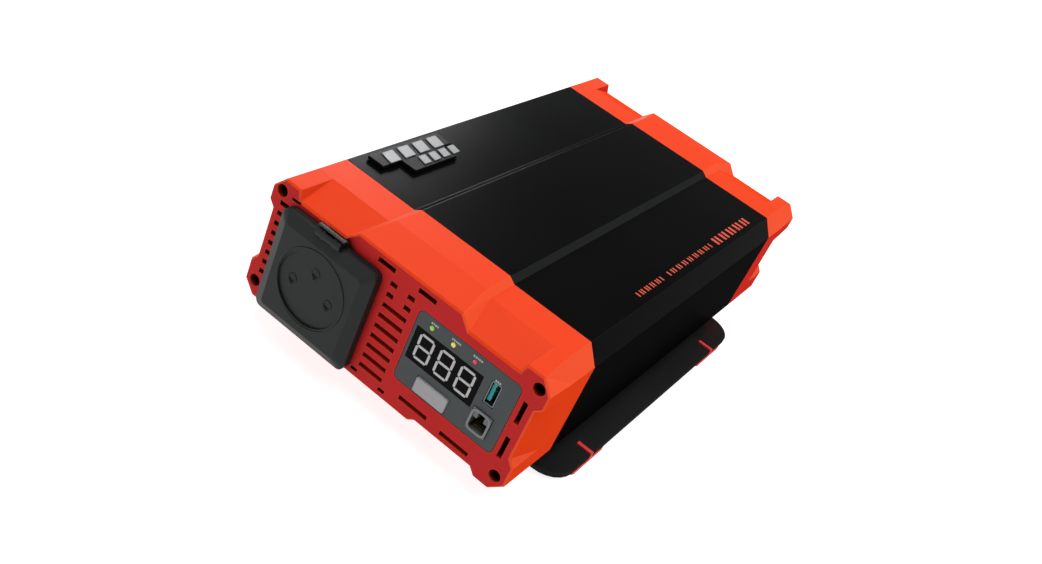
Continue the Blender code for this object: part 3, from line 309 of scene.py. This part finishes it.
def brushed_metal(name, colour, stretch, roughness):
    """Bare metal with fine lines; stretch says how tightly they lie along each axis."""
    finish = Finish(name, Metallic=1.0)
    lines = finish.noise(1.0, 3, 0.6, finish.stretched(stretch))
    stain = finish.noise(120, 3)
    tone = finish.mix(stain, shade(colour, 0.82), shade(colour, 1.08))
    return finish.feed(
        Base_Color=tone,
        Roughness=roughness - 0.08 + lines * 0.14 + stain * 0.08,
        Normal=finish.bump(lines, 0.00002, 0.4),
    )


def jack_plastic():
    """Grey moulding, with painted shade darkening it to near black where the plug goes in."""
    finish = Finish("jack_grey", Specular_IOR_Level=0.15)
    fine = finish.noise(2000, 2, 0.6)
    # Painted shade: ambient occlusion darkens the plug way to near black.
    plug_way_shade = finish.hollows(0.006).clamped(0.30, 0.75)
    tone = finish.mix(fine, (0.105, 0.110, 0.112), (0.150, 0.155, 0.158))
    tone = finish.mix(plug_way_shade, tone, (0.004, 0.004, 0.004))
    return finish.feed(
        Base_Color=tone,
        Roughness=0.45 + fine * 0.1,
        Normal=finish.bump(fine, 0.00002, 0.4),
    )


def foot_rubber():
    """Red rubber, slightly dusty."""
    finish = Finish("foot_rubber", Specular_IOR_Level=0.3)
    dust = finish.noise(140, 3)
    grain = finish.noise(1100, 2, 0.7)
    tone = finish.mix(dust, (0.52, 0.018, 0.022), (0.66, 0.045, 0.038))
    return finish.feed(
        Base_Color=tone,
        Roughness=0.62 + dust * 0.16,
        Normal=finish.bump(grain, 0.00004, 0.5),
    )


def window_plastic():
    """Polished smoked acrylic with the faintest waviness."""
    finish = Finish("display_window", Specular_IOR_Level=0.04)
    wave = finish.noise(90, 1)
    specks = finish.noise(700, 2)
    tone = finish.mix(specks, (0.0010, 0.0010, 0.0012), (0.0022, 0.0022, 0.0025))
    return finish.feed(
        Base_Color=tone,
        Roughness=0.08 + specks * 0.05,
        Normal=finish.bump(wave, 0.00005, 0.15),
    )


def lens(name, colour, glow):
    """A light pipe of cloudy plastic; glow sets how much it is lit."""
    finish = Finish(name, Specular_IOR_Level=0.6, Emission_Strength=glow)
    cloud = finish.noise(800, 2)
    tone = finish.mix(cloud, shade(colour, 0.7), shade(colour, 1.2))
    return finish.feed(Base_Color=tone, Emission_Color=tone, Roughness=0.16 + cloud * 0.10)


def lit_segment():
    """A bar of a lit figure, glowing a little."""
    finish = Finish("digit_white", Emission_Strength=0.22)
    cloud = finish.noise(900, 1)
    tone = finish.mix(cloud, (0.26, 0.255, 0.25), (0.36, 0.35, 0.35))
    return finish.feed(Base_Color=tone, Emission_Color=tone, Roughness=0.35 + cloud * 0.1)


def print_ink(name, colour):
    """Screen-printed ink: slightly uneven cover."""
    finish = Finish(name, Specular_IOR_Level=0.3)
    cover = finish.noise(2600, 2, 0.7)
    return finish.feed(
        Base_Color=finish.mix(cover, shade(colour, 0.80), shade(colour, 1.12)),
        Roughness=0.45 + cover * 0.2,
        Normal=finish.bump(cover, 0.00001, 0.4),
    )


def circuit_board():
    """Green mask over a faint grid of tracks and pads."""
    finish = Finish("circuit_board", Specular_IOR_Level=0.5)
    cells = finish.add(
        "ShaderNodeTexVoronoi",
        {"distance": "MANHATTAN"},
        {"Vector": finish.place(), "Scale": 240},
    )
    bricks = {"Scale": 90, "Mortar Size": 0.03, "Brick Width": 0.9, "Row Height": 0.22}
    tracks = finish.add(
        "ShaderNodeTexBrick", {"offset": 0.3}, {"Vector": finish.place(), **bricks}, output=1
    )
    tone = finish.mix(tracks, (0.010, 0.105, 0.035), (0.020, 0.165, 0.060))
    tone = finish.mix(cells < 0.13, tone, (0.52, 0.50, 0.44))
    return finish.feed(
        Base_Color=tone,
        Roughness=0.30 + tracks * 0.15,
        Normal=finish.bump(tracks, 0.00003, 0.4),
    )


def wound_wire(name, axis):
    """Enamelled turns laid side by side along one axis."""
    finish = Finish(name, Metallic=0.85)
    turns = finish.add(
        "ShaderNodeTexWave",
        {"bands_direction": axis},
        {"Vector": finish.place(), "Scale": 160, "Distortion": 0.4, "Detail": 1.0},
        output=1,
    )
    stain = finish.noise(60, 2)
    tone = finish.mix(turns, (0.20, 0.055, 0.014), (0.66, 0.26, 0.09))
    tone = finish.mix(stain * 0.3, tone, (0.40, 0.14, 0.05))
    return finish.feed(
        Base_Color=tone,
        Roughness=0.26 + stain * 0.12,
        Normal=finish.bump(turns, 0.0003, 0.8),
    )


def ribbed_ribbon():
    """Flat cable of parallel cores."""
    finish = Finish("ribbon_grey", Specular_IOR_Level=0.4)
    cores = finish.add(
        "ShaderNodeTexWave",
        {"bands_direction": "X"},
        {"Vector": finish.place(), "Scale": 125},
        output=1,
    )
    return finish.feed(
        Base_Color=finish.mix(cores, (0.27, 0.27, 0.28), (0.46, 0.46, 0.48)),
        Roughness=0.45 + cores * 0.1,
        Normal=finish.bump(cores, 0.0002, 0.6),
    )


finishes = {
    "case_black": case_coat("case_black", 0.0011),
    "base_black": case_coat("base_black", 0.0110),
    "cap_orange": cap_plastic("cap_orange", (0.585, 0.039, 0.007)),
    # The rear cap's side walls take a darker crimson as painted shade.
    "rear_cap_orange": cap_plastic("rear_cap_orange", (0.44, 0.018, 0.014)),
    "black_plastic": moulded_plastic("black_plastic", (0.0085, 0.0100, 0.0097), 0.46, 1400),
    "panel_grey": moulded_plastic("panel_grey", (0.047, 0.053, 0.055), 0.50, 2200, 0.00002),
    "display_window": window_plastic(),
    "display_module": moulded_plastic("display_module", (0.30, 0.30, 0.31), 0.5),
    "green_light": lens("green_light", (0.22, 0.50, 0.03), 0.30),
    "yellow_light": lens("yellow_light", (0.62, 0.56, 0.07), 0.30),
    "red_light": lens("red_light", (0.58, 0.022, 0.06), 0.20),
    "button_grey": moulded_plastic("button_grey", (0.290, 0.282, 0.292), 0.42, 2000, 0.00002, 0.15),
    "usb_teal": moulded_plastic("usb_teal", (0.012, 0.26, 0.27), 0.35, 2000, 0.00002),
    "brass": brushed_metal("brass", (0.76, 0.55, 0.25), (2500, 400, 2500), 0.26),
    "foot_rubber": foot_rubber(),
    "knob_red": moulded_plastic("knob_red", (0.52, 0.016, 0.014), 0.38, 1600),
    "knob_black": moulded_plastic("knob_black", (0.014, 0.014, 0.015), 0.40, 1600),
    "circuit_board": circuit_board(),
    "ribbon_grey": ribbed_ribbon(),
    "ferrite": moulded_plastic("ferrite", (0.035, 0.035, 0.038), 0.62, 700, 0.00006),
    "copper_wire": wound_wire("copper_wire", "Z"),
    "capacitor_sleeve": moulded_plastic("capacitor_sleeve", (0.010, 0.018, 0.070), 0.30, 500, 0.00002),
    "aluminium": brushed_metal("aluminium", (0.66, 0.66, 0.68), (2200, 60, 2200), 0.34),
    "cable_red": moulded_plastic("cable_red", (0.44, 0.014, 0.014), 0.42, 900),
    "cable_black": moulded_plastic("cable_black", (0.012, 0.012, 0.012), 0.42, 900),
    "badge_black": moulded_plastic("badge_black", (0.0030, 0.0030, 0.0032), 0.40, 1500, gloss=0.08),
    "blackened_steel": brushed_metal("blackened_steel", (0.055, 0.052, 0.050), (1500,) * 3, 0.42),
    "dark_steel": brushed_metal("dark_steel", (0.16, 0.17, 0.18), (2500, 300, 2500), 0.38),
    "jack_grey": jack_plastic(),
    "rim_grey": moulded_plastic("rim_grey", (0.16, 0.165, 0.17), 0.45, 2000, 0.00002),
    "ink_orange": print_ink("ink_orange", (0.46, 0.050, 0.022)),
    "ink_pale": print_ink("ink_pale", (0.34, 0.36, 0.36)),
    "digit_white": lit_segment(),
    "badge_silver": brushed_metal("badge_silver", (0.205, 0.21, 0.215), (400, 2500, 2500), 0.42),
    "contact_gold": brushed_metal("contact_gold", (0.83, 0.62, 0.22), (900, 900, 900), 0.22),
}


def paint(piece, finish):
    piece.data.materials.clear()
    piece.data.materials.append(finishes[finish])


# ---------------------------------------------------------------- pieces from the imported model
softened = {  # width of the rounding in millimetres
    "front_cap": 0.45,
    "rear_cap": 0.45,
    "case_cover": 0.35,
    "base_plate": 0.35,
    "socket_lid": 0.45,
    "socket_body": 0.30,
    "control_panel": 0.18,
    "power_button": 0.20,
    "modular_jack": 0.12,
    "badge_plate": 0.30,
    "terminal_block": 0.30,
    "fan_frame": 0.25,
    "display_window": 0.10,
}


def soften(piece, width):
    """Rounds a CAD piece's sharp edges; flat facets are merged first, so that the rounding is clean."""
    weld = piece.modifiers.new("weld", "WELD")
    weld.merge_threshold = 0.00001
    flat = piece.modifiers.new("flat", "DECIMATE")
    flat.decimate_type = "DISSOLVE"
    flat.angle_limit = math.radians(1.5)
    edge = piece.modifiers.new("edge", "BEVEL")
    edge.width = width * MM
    edge.segments = 2
    edge.limit_method = "ANGLE"
    edge.angle_limit = math.radians(28)
    edge.use_clamp_overlap = True
    edge.harden_normals = True


special_finishes = {  # where the record's material slot is not the finish
    "badge_plate": "badge_black",
    "base_plate": "base_black",
    "rear_cap": "rear_cap_orange",
    "lid_spring": "blackened_steel",
    "lid_hinge_pin": "blackened_steel",
    "usb_shell": "dark_steel",
    "modular_jack": "jack_grey",
}


def dress_nodes():
    """Paints every node and rounds the large ones."""
    slots = {entry["node"]: entry["material_slot"] for entry in frame["record"]["subparts"]}
    for name, piece in nodes.items():
        blackened = name.startswith("cap_screw")
        paint(piece, "blackened_steel" if blackened else special_finishes.get(name, slots[name]))
        if name in softened:
            soften(piece, softened[name])


dress_nodes()


# ---------------------------------------------------------------- mesh building
def spot(facing, across, up, level, out):
    """A point on a surface at a level, standing out of it: front faces -Y, rear +Y and top +Z."""
    if facing == "front":
        return Vector((across, level - out, up))
    if facing == "rear":
        return Vector((across, level + out, up))
    return Vector((across, up, level + out))


def shrunk(outline, by):
    """The counter-clockwise outline moved inwards by one distance on every side."""
    result = []
    for index, point in enumerate(outline):
        point = Vector(point)
        arriving = (point - Vector(outline[index - 1])).normalized()
        leaving = (Vector(outline[(index + 1) % len(outline)]) - point).normalized()
        inward = Vector((-arriving.y - leaving.y, arriving.x + leaving.x))
        result.append(point + inward * by / (1 + arriving.dot(leaving)))
    return result


def rounded(centre, width, height, radius, steps=4):
    """A rectangle with round corners, counter-clockwise."""
    points = []
    for quarter, (side, rise) in enumerate(((1, 1), (-1, 1), (-1, -1), (1, -1))):
        middle = Vector(centre) + Vector((side * (width / 2 - radius), rise * (height / 2 - radius)))
        for step in range(steps + 1):
            angle = math.radians(90) * (quarter + step / steps)
            points.append(middle + Vector((math.cos(angle), math.sin(angle))) * radius)
    return points


def raise_plate(shape, outline, facing, level, height, bevel=0.0, sink=0.0001):
    """A plate that stands proud of a surface and starts just below it; its top rim can be bevelled."""
    rings = [(outline, -sink), (outline, height - bevel)]
    if bevel:
        rings.append((shrunk(outline, bevel), height))
    loops = [
        [shape.verts.new(spot(facing, *point, level, out)) for point in ring] for ring, out in rings
    ]
    for lower, upper in zip(loops, loops[1:]):
        for index in range(len(lower)):
            shape.faces.new((lower[index - 1], lower[index], upper[index], upper[index - 1]))
    shape.faces.new(loops[-1])
    shape.faces.new(loops[0][::-1])


def make_piece(name, shape, body, finish, sharp=30):
    """Turns a built shape into a named piece that rides on a body."""
    bmesh.ops.recalc_face_normals(shape, faces=shape.faces)
    mesh = bpy.data.meshes.new(name)
    shape.to_mesh(mesh)
    shape.free()
    mesh.shade_smooth()
    mesh.set_sharp_from_angle(angle=math.radians(sharp))
    mesh.materials.append(finishes[finish])
    piece = bpy.data.objects.new(name, mesh)
    scene.collection.objects.link(piece)
    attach(piece, body)
    return piece


# ---------------------------------------------------------------- front panel
def light_bar(shape, start, end, width, level):
    """One lit segment between two points, with pointed ends."""
    start, end = Vector(start), Vector(end)
    along = (end - start).normalized()
    side = Vector((-along.y, along.x)) * width / 2
    tip = along * width / 2
    thick, sunk = 0.00012, 0.00005
    outline = [start, start + tip - side, end - tip - side, end, end - tip + side, start + tip + side]
    raise_plate(shape, outline, "front", level, thick, sink=sunk)


def make_digits():
    """Three figures of seven thin bars each."""
    low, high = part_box("display_window")
    middle = (low + high) / 2
    width, height, pitch = 0.0078, 0.0136, 0.0125
    stroke, gap = 0.00130, 0.00020
    for index, name in enumerate(("digit_left", "digit_middle", "digit_right")):
        shape = bmesh.new()
        left = middle.x + (index - 1) * pitch - width / 2
        right = left + width
        floors = [middle.z + height * share for share in (-0.5, 0, 0.5)]
        for z in floors:
            light_bar(shape, (left + gap, z), (right - gap, z), stroke, low.y)
        for x in (left, right):
            for bottom, top in zip(floors, floors[1:]):
                light_bar(shape, (x, bottom + gap), (x, top - gap), stroke, low.y)
        make_piece(name, shape, "case", "digit_white")


def dash_row(shape, level, centre, widths, height, space):
    """A printed row of short blocks in place of a caption."""
    thick, sunk = 0.00006, 0.00004
    total = sum(widths) + space * (len(widths) - 1)
    across = centre[0] - total / 2
    for width in widths:
        block = rounded((across + width / 2, centre[1]), width, height, min(width, height) * 0.2, 2)
        raise_plate(shape, block, "front", level, thick, sink=sunk)
        across += width + space


def make_panel_marks():
    """Pale captions over the lights and the USB port."""
    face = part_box("control_panel")[0].y
    low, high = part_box("usb_shell")
    green, yellow, red = (centre_of(f"{name}_light") for name in ("green", "yellow", "red"))
    aside, above_light, above_port = 0.8 * MM, 2.6 * MM, 1.2 * MM
    height, space = 1.1 * MM, 0.35 * MM
    shape = bmesh.new()
    for across, up, widths in (
        (green.x + aside, green.z + above_light, (0.9, 0.6, 0.9, 0.7)),
        (yellow.x + aside, yellow.z + above_light, (0.7, 0.9, 0.6, 0.9, 0.7)),
        (red.x + aside, red.z + above_light, (0.9, 0.9, 0.6, 0.7, 0.9)),
        ((low.x + high.x) / 2, high.z + above_port, (0.8, 0.8, 0.8)),
    ):
        dash_row(shape, face, (across, up), [width * MM for width in widths], height, space)
    make_piece("panel_marks", shape, "case", "ink_pale")


def add_bar(shape, low, high):
    """A bar between two corners."""
    low, high = Vector(low), Vector(high)
    for vert in bmesh.ops.create_cube(shape, size=1)["verts"]:
        vert.co = [low[axis] + (high[axis] - low[axis]) * (vert.co[axis] + 0.5) for axis in range(3)]


def make_usb_contacts():
    """Four sprung contacts along each side of the tongue, each in two lengths."""
    low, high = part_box("usb_tongue")
    rows, lengths = 4, 2
    inset, pitch, length = 0.6 * MM, 3.2 * MM, 2.8 * MM
    half_thick, half_height = 0.08 * MM, 0.5 * MM
    shape = bmesh.new()
    for row in range(rows):
        z = low.z + (high.z - low.z) * (row + 0.5) / rows
        for side in (low.x, high.x):
            for step in range(lengths):
                start = low.y + inset + step * pitch
                near = (side - half_thick, start, z - half_height)
                far = (side + half_thick, start + length, z + half_height)
                add_bar(shape, near, far)
    make_piece("usb_contacts", shape, "case", "contact_gold")


def make_jack_wires():
    """Six sprung wires that leave the jack's back wall and slant down towards its mouth."""
    low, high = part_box("modular_jack")
    middle = (low.x + high.x) / 2
    count, pitch, half_thick = 6, 1.02 * MM, 0.22 * MM
    tip = (low.y + 2.2 * MM, low.z + 2.4 * MM)
    bend = (low.y + 8.0 * MM, low.z + 4.6 * MM)
    root = (high.y - 1.5 * MM, low.z + 4.6 * MM)
    corners = ((-1, -1), (1, -1), (1, 1), (-1, 1))
    shape = bmesh.new()
    for index in range(count):
        x = middle + (index - (count - 1) / 2) * pitch
        rings = [
            [shape.verts.new((x + a * half_thick, y, z + b * half_thick)) for a, b in corners]
            for y, z in (tip, bend, root)
        ]
        for ring, following in zip(rings, rings[1:]):
            for turn in range(len(corners)):
                shape.faces.new((ring[turn - 1], ring[turn], following[turn], following[turn - 1]))
        shape.faces.new(rings[0])
        shape.faces.new(rings[-1][::-1])
    make_piece("jack_wires", shape, "case", "contact_gold")


make_digits()
make_panel_marks()
make_usb_contacts()
make_jack_wires()


# ---------------------------------------------------------------- marks on the cover
def make_badge_blocks():
    """Stamped silver blocks on the badge: two rows of four leaning bars."""
    low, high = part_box("badge_plate")
    badge_width, badge_length = high.x - low.x, high.y - low.y
    count, lean_share, cover_share = 4, 0.30, 0.84
    height, rim = 0.0005, 0.00015
    shape = bmesh.new()
    for across_share, along_share, depth, pitch, width in (
        (0.30, 0.10, 0.0088, 0.0126, 0.0105),
        (0.76, 0.42, 0.0066, 0.0086, 0.0072),
    ):
        across = low.x + across_share * badge_width
        right, left = across + depth / 2, across - depth / 2
        length, lean = cover_share * width, lean_share * depth
        for index in range(count):
            y = low.y + along_share * badge_length + index * pitch
            block = [(right, y), (right, y + length), (left, y + length + lean), (left, y + lean)]
            raise_plate(shape, block, "top", high.z, height, rim)
    make_piece("badge_blocks", shape, "case", "badge_silver")


def make_cover_print():
    """A line of printed blocks along the right shoulder, larger towards the rear."""
    line_inset = 0.0133
    thick, sunk, corner = 0.00006, 0.00004, 0.0003
    shape = bmesh.new()
    for start, count, length, height, space, stroke_share in (
        (body_middle - 0.0545, 5, 0.0048, 0.0034, 0.0012, 0.24),
        (body_middle - 0.0180, 8, 0.0058, 0.0034, 0.0014, 0.22),
        (body_middle + 0.0445, 5, 0.0068, 0.0058, 0.0036, 0.34),
    ):
        x = half_width - line_inset - height * 0.1
        stroke = length * stroke_share
        for index in range(count):
            middle = start + index * (length + space) + length / 2
            for side in (-1, 1):
                block = rounded((x, middle + side * (length - stroke) / 2), height, stroke, corner, 2)
                raise_plate(shape, block, "top", shoulder_top, thick, sink=sunk)
    make_piece("cover_print", shape, "case", "ink_orange")


make_badge_blocks()
make_cover_print()


# ---------------------------------------------------------------- socket lid
def add_bead(shape, centre, radius, thick, level):
    """A ring of round section, half sunk into a surface that faces the front."""
    turns, sides = 72, 8
    loops = []
    for turn in range(turns):
        angle = 2 * math.pi * turn / turns
        loop = []
        for side in range(sides):
            tilt = 2 * math.pi * side / sides
            reach = radius + thick * math.cos(tilt)
            across = centre[0] + reach * math.cos(angle)
            up = centre[1] + reach * math.sin(angle)
            loop.append(shape.verts.new(spot("front", across, up, level, thick * math.sin(tilt))))
        loops.append(loop)
    for turn in range(turns):
        last, this = loops[turn - 1], loops[turn]
        for side in range(sides):
            shape.faces.new((last[side - 1], last[side], this[side], this[side - 1]))


def make_lid_beads():
    """A moulded bead round the lid's dished middle, and one round each of its three blind holes."""
    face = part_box("socket_lid")[0].y
    middle = centre_of("socket_body")
    dish_radius, dish_bead, dish_depth = 0.0208, 0.0005, 0.0008
    hole_radius, hole_bead = 0.0024, 0.00035
    hole_apart, hole_drop, top_hole_rise = 0.0117, 0.0018, 0.009
    shape = bmesh.new()
    add_bead(shape, (middle.x, middle.z), dish_radius, dish_bead, face)
    for x, z in ((-hole_apart, -hole_drop), (hole_apart, -hole_drop), (0, top_hole_rise)):
        add_bead(shape, (middle.x + x, middle.z + z), hole_radius, hole_bead, face + dish_depth)
    make_piece("lid_beads", shape, "lid", "black_plastic", 60)


def curved_shield(shape, axis, ends, inner, outer, angles):
    """Part of a tube round an axis along X, with bevelled end rims; angles rise from the front."""
    start, end = (math.radians(angle) for angle in angles)
    steps, rim = 12, 0.0003
    rows = []
    for x, inset in ((ends[0] - rim, rim), (ends[0], 0.0), (ends[1], 0.0), (ends[1] + rim, rim)):
        row = []
        for radius, order in ((outer - inset, range(steps + 1)), (inner, range(steps, -1, -1))):
            for step in order:
                angle = start + (end - start) * step / steps
                y, z = axis.y - radius * math.cos(angle), axis.z + radius * math.sin(angle)
                row.append(shape.verts.new((x, y, z)))
        rows.append(row)
    for first, second in zip(rows, rows[1:]):
        for index in range(len(first)):
            shape.faces.new((first[index - 1], first[index], second[index], second[index - 1]))
    shape.faces.new(rows[0])
    shape.faces.new(rows[-1][::-1])


def make_hinge_shields():
    """A hood on the lid over the front of the hinge, and a guard on the frame over its top."""
    low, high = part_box("lid_hinge_pin")
    axis = (low + high) / 2
    for name, body, past_pin, inner, outer, angles in (
        ("hinge_hood", "lid", 0.0003, 0.00240, 0.00290, (-75, 46)),
        ("hinge_guard", "case", 0.0009, 0.00305, 0.00355, (69, 170)),
    ):
        shape = bmesh.new()
        curved_shield(shape, axis, (low.x - past_pin, high.x + past_pin), inner, outer, angles)
        make_piece(name, shape, body, "black_plastic", 40)


make_lid_beads()
make_hinge_shields()


# ---------------------------------------------------------------- jack and rear marks
def make_jack_rim():
    """A pale moulded rim round the network jack: a flat frame between two rounded outlines."""
    low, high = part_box("modular_jack")
    centre = ((low.x + high.x) / 2, (low.z + high.z) / 2)
    width, height, rim = high.x - low.x, high.z - low.z, 0.0011
    outer_corner, inner_corner, steps = 0.0030, 0.0020, 5
    outer = rounded(centre, width, height, outer_corner, steps)
    inner = rounded(centre, width - 2 * rim, height - 2 * rim, inner_corner, steps)
    proud, sunk = 0.0005, -0.0001
    shape = bmesh.new()
    loops = []
    for outline, out in ((outer, sunk), (outer, proud), (inner, proud), (inner, sunk)):
        loops.append([shape.verts.new(spot("front", *point, low.y, out)) for point in outline])
    for index in range(len(loops)):
        lower, upper = loops[index - 1], loops[index]
        for corner in range(len(lower)):
            shape.faces.new((lower[corner - 1], lower[corner], upper[corner], upper[corner - 1]))
    make_piece("jack_rim", shape, "case", "rim_grey")


def make_terminal_marks():
    """A plus over the positive terminal and a minus over the negative one."""
    low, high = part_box("terminal_block")
    back_plate, row_drop = 0.0030, 0.0042
    face, row = low.y + back_plate, high.z - row_drop
    long, thin = 0.0044, 0.0009
    base_height, layer_height = 0.00008, 0.00003
    shape = bmesh.new()
    for name, sizes in (
        ("knob_positive", ((long, thin), (thin, long))),
        ("knob_negative", ((long, thin),)),
    ):
        x = centre_of(name).x
        for layer, (width, height) in enumerate(sizes):
            bar = rounded((x, row), width, height, thin * 0.3, 2)
            raise_plate(shape, bar, "rear", face, base_height + layer_height * layer)
    make_piece("terminal_marks", shape, "case", "ink_pale")


make_jack_rim()
make_terminal_marks()


# ---------------------------------------------------------------- camera, light and floor
def set_camera():
    """Three-quarter view from the right and above, tilted about its own line of sight."""
    azimuth, elevation, roll = (math.radians(angle) for angle in (20.573, 32.015, 25.392))
    distance, focal_length, sensor_width = 0.6624, 39.31, 36
    aim = Vector((-0.0024, front + 0.1409, 0.0237))
    back = Vector((
        math.sin(azimuth) * math.cos(elevation),
        -math.cos(azimuth) * math.cos(elevation),
        math.sin(elevation),
    ))
    level = (-back).to_track_quat("-Z", "Y").to_matrix()
    data = bpy.data.cameras.new("camera")
    data.sensor_width = sensor_width
    data.lens = focal_length
    data.clip_start = 0.01
    data.clip_end = 50
    camera = bpy.data.objects.new("camera", data)
    turned = level @ Matrix.Rotation(roll, 3, "Z")
    camera.matrix_world = Matrix.Translation(aim + back * distance) @ turned.to_4x4()
    scene.collection.objects.link(camera)
    scene.camera = camera


def add_light(name, place, aim, size, power, colour=(1, 1, 1)):
    """A round soft lamp turned towards a point; power in watts."""
    data = bpy.data.lights.new(name, "AREA")
    data.shape = "DISK"
    data.size = size
    data.energy = power
    data.color = colour
    light = bpy.data.objects.new(name, data)
    light.location = place
    light.rotation_mode = "QUATERNION"
    light.rotation_quaternion = (Vector(aim) - Vector(place)).to_track_quat("-Z", "Y")
    scene.collection.objects.link(light)


def set_light():
    """A sky that is bright at the horizon and dim overhead, and four soft lamps."""
    world = bpy.data.worlds.new("studio")
    sky = Sky(world)
    horizon, overhead = 0.90, 0.12
    sky.shader.inputs["Color"].default_value = (0.95, 0.98, 1.0, 1)
    fade = (horizon - overhead) * sky.height().clamped(0.12, 0.32)
    sky.give(sky.shader.inputs["Strength"], horizon - fade)
    scene.world = world
    centre = (0, body_middle, 0.04)
    add_light("overhead", (0.15, 0.20, 2.0), centre, 2.8, 72, (1, 0.985, 0.97))
    add_light("left_card", (-1.20, 1.33, 0.70), centre, 0.7, 14)
    add_light("right_card", (1.75, 0.60, 0.70), centre, 0.8, 10)
    add_light("front_fill", (-0.6, -1.6, 0.7), centre, 1.0, 4)
    scene.view_settings.view_transform = "Standard"
    scene.view_settings.look = "None"


def lay_floor():
    """A wide pale floor that glows a little, so that shadows on it stay light."""
    shape = bmesh.new()
    bmesh.ops.create_circle(shape, cap_ends=True, segments=96, radius=6.0)
    mesh = bpy.data.meshes.new("floor")
    shape.to_mesh(mesh)
    shape.free()
    floor = bpy.data.objects.new("floor", mesh)
    scene.collection.objects.link(floor)
    finish = Finish("floor_pale", Specular_IOR_Level=0.05, Emission_Strength=0.86)
    finish.shader.inputs["Emission Color"].default_value = (1, 1, 1, 1)
    cloud = finish.noise(2.0, 2)
    tone = finish.mix(cloud, (0.30, 0.30, 0.30), (0.33, 0.33, 0.33))
    mesh.materials.append(finish.feed(Base_Color=tone, Roughness=0.8 + cloud * 0.1))


set_camera()
set_light()
lay_floor()
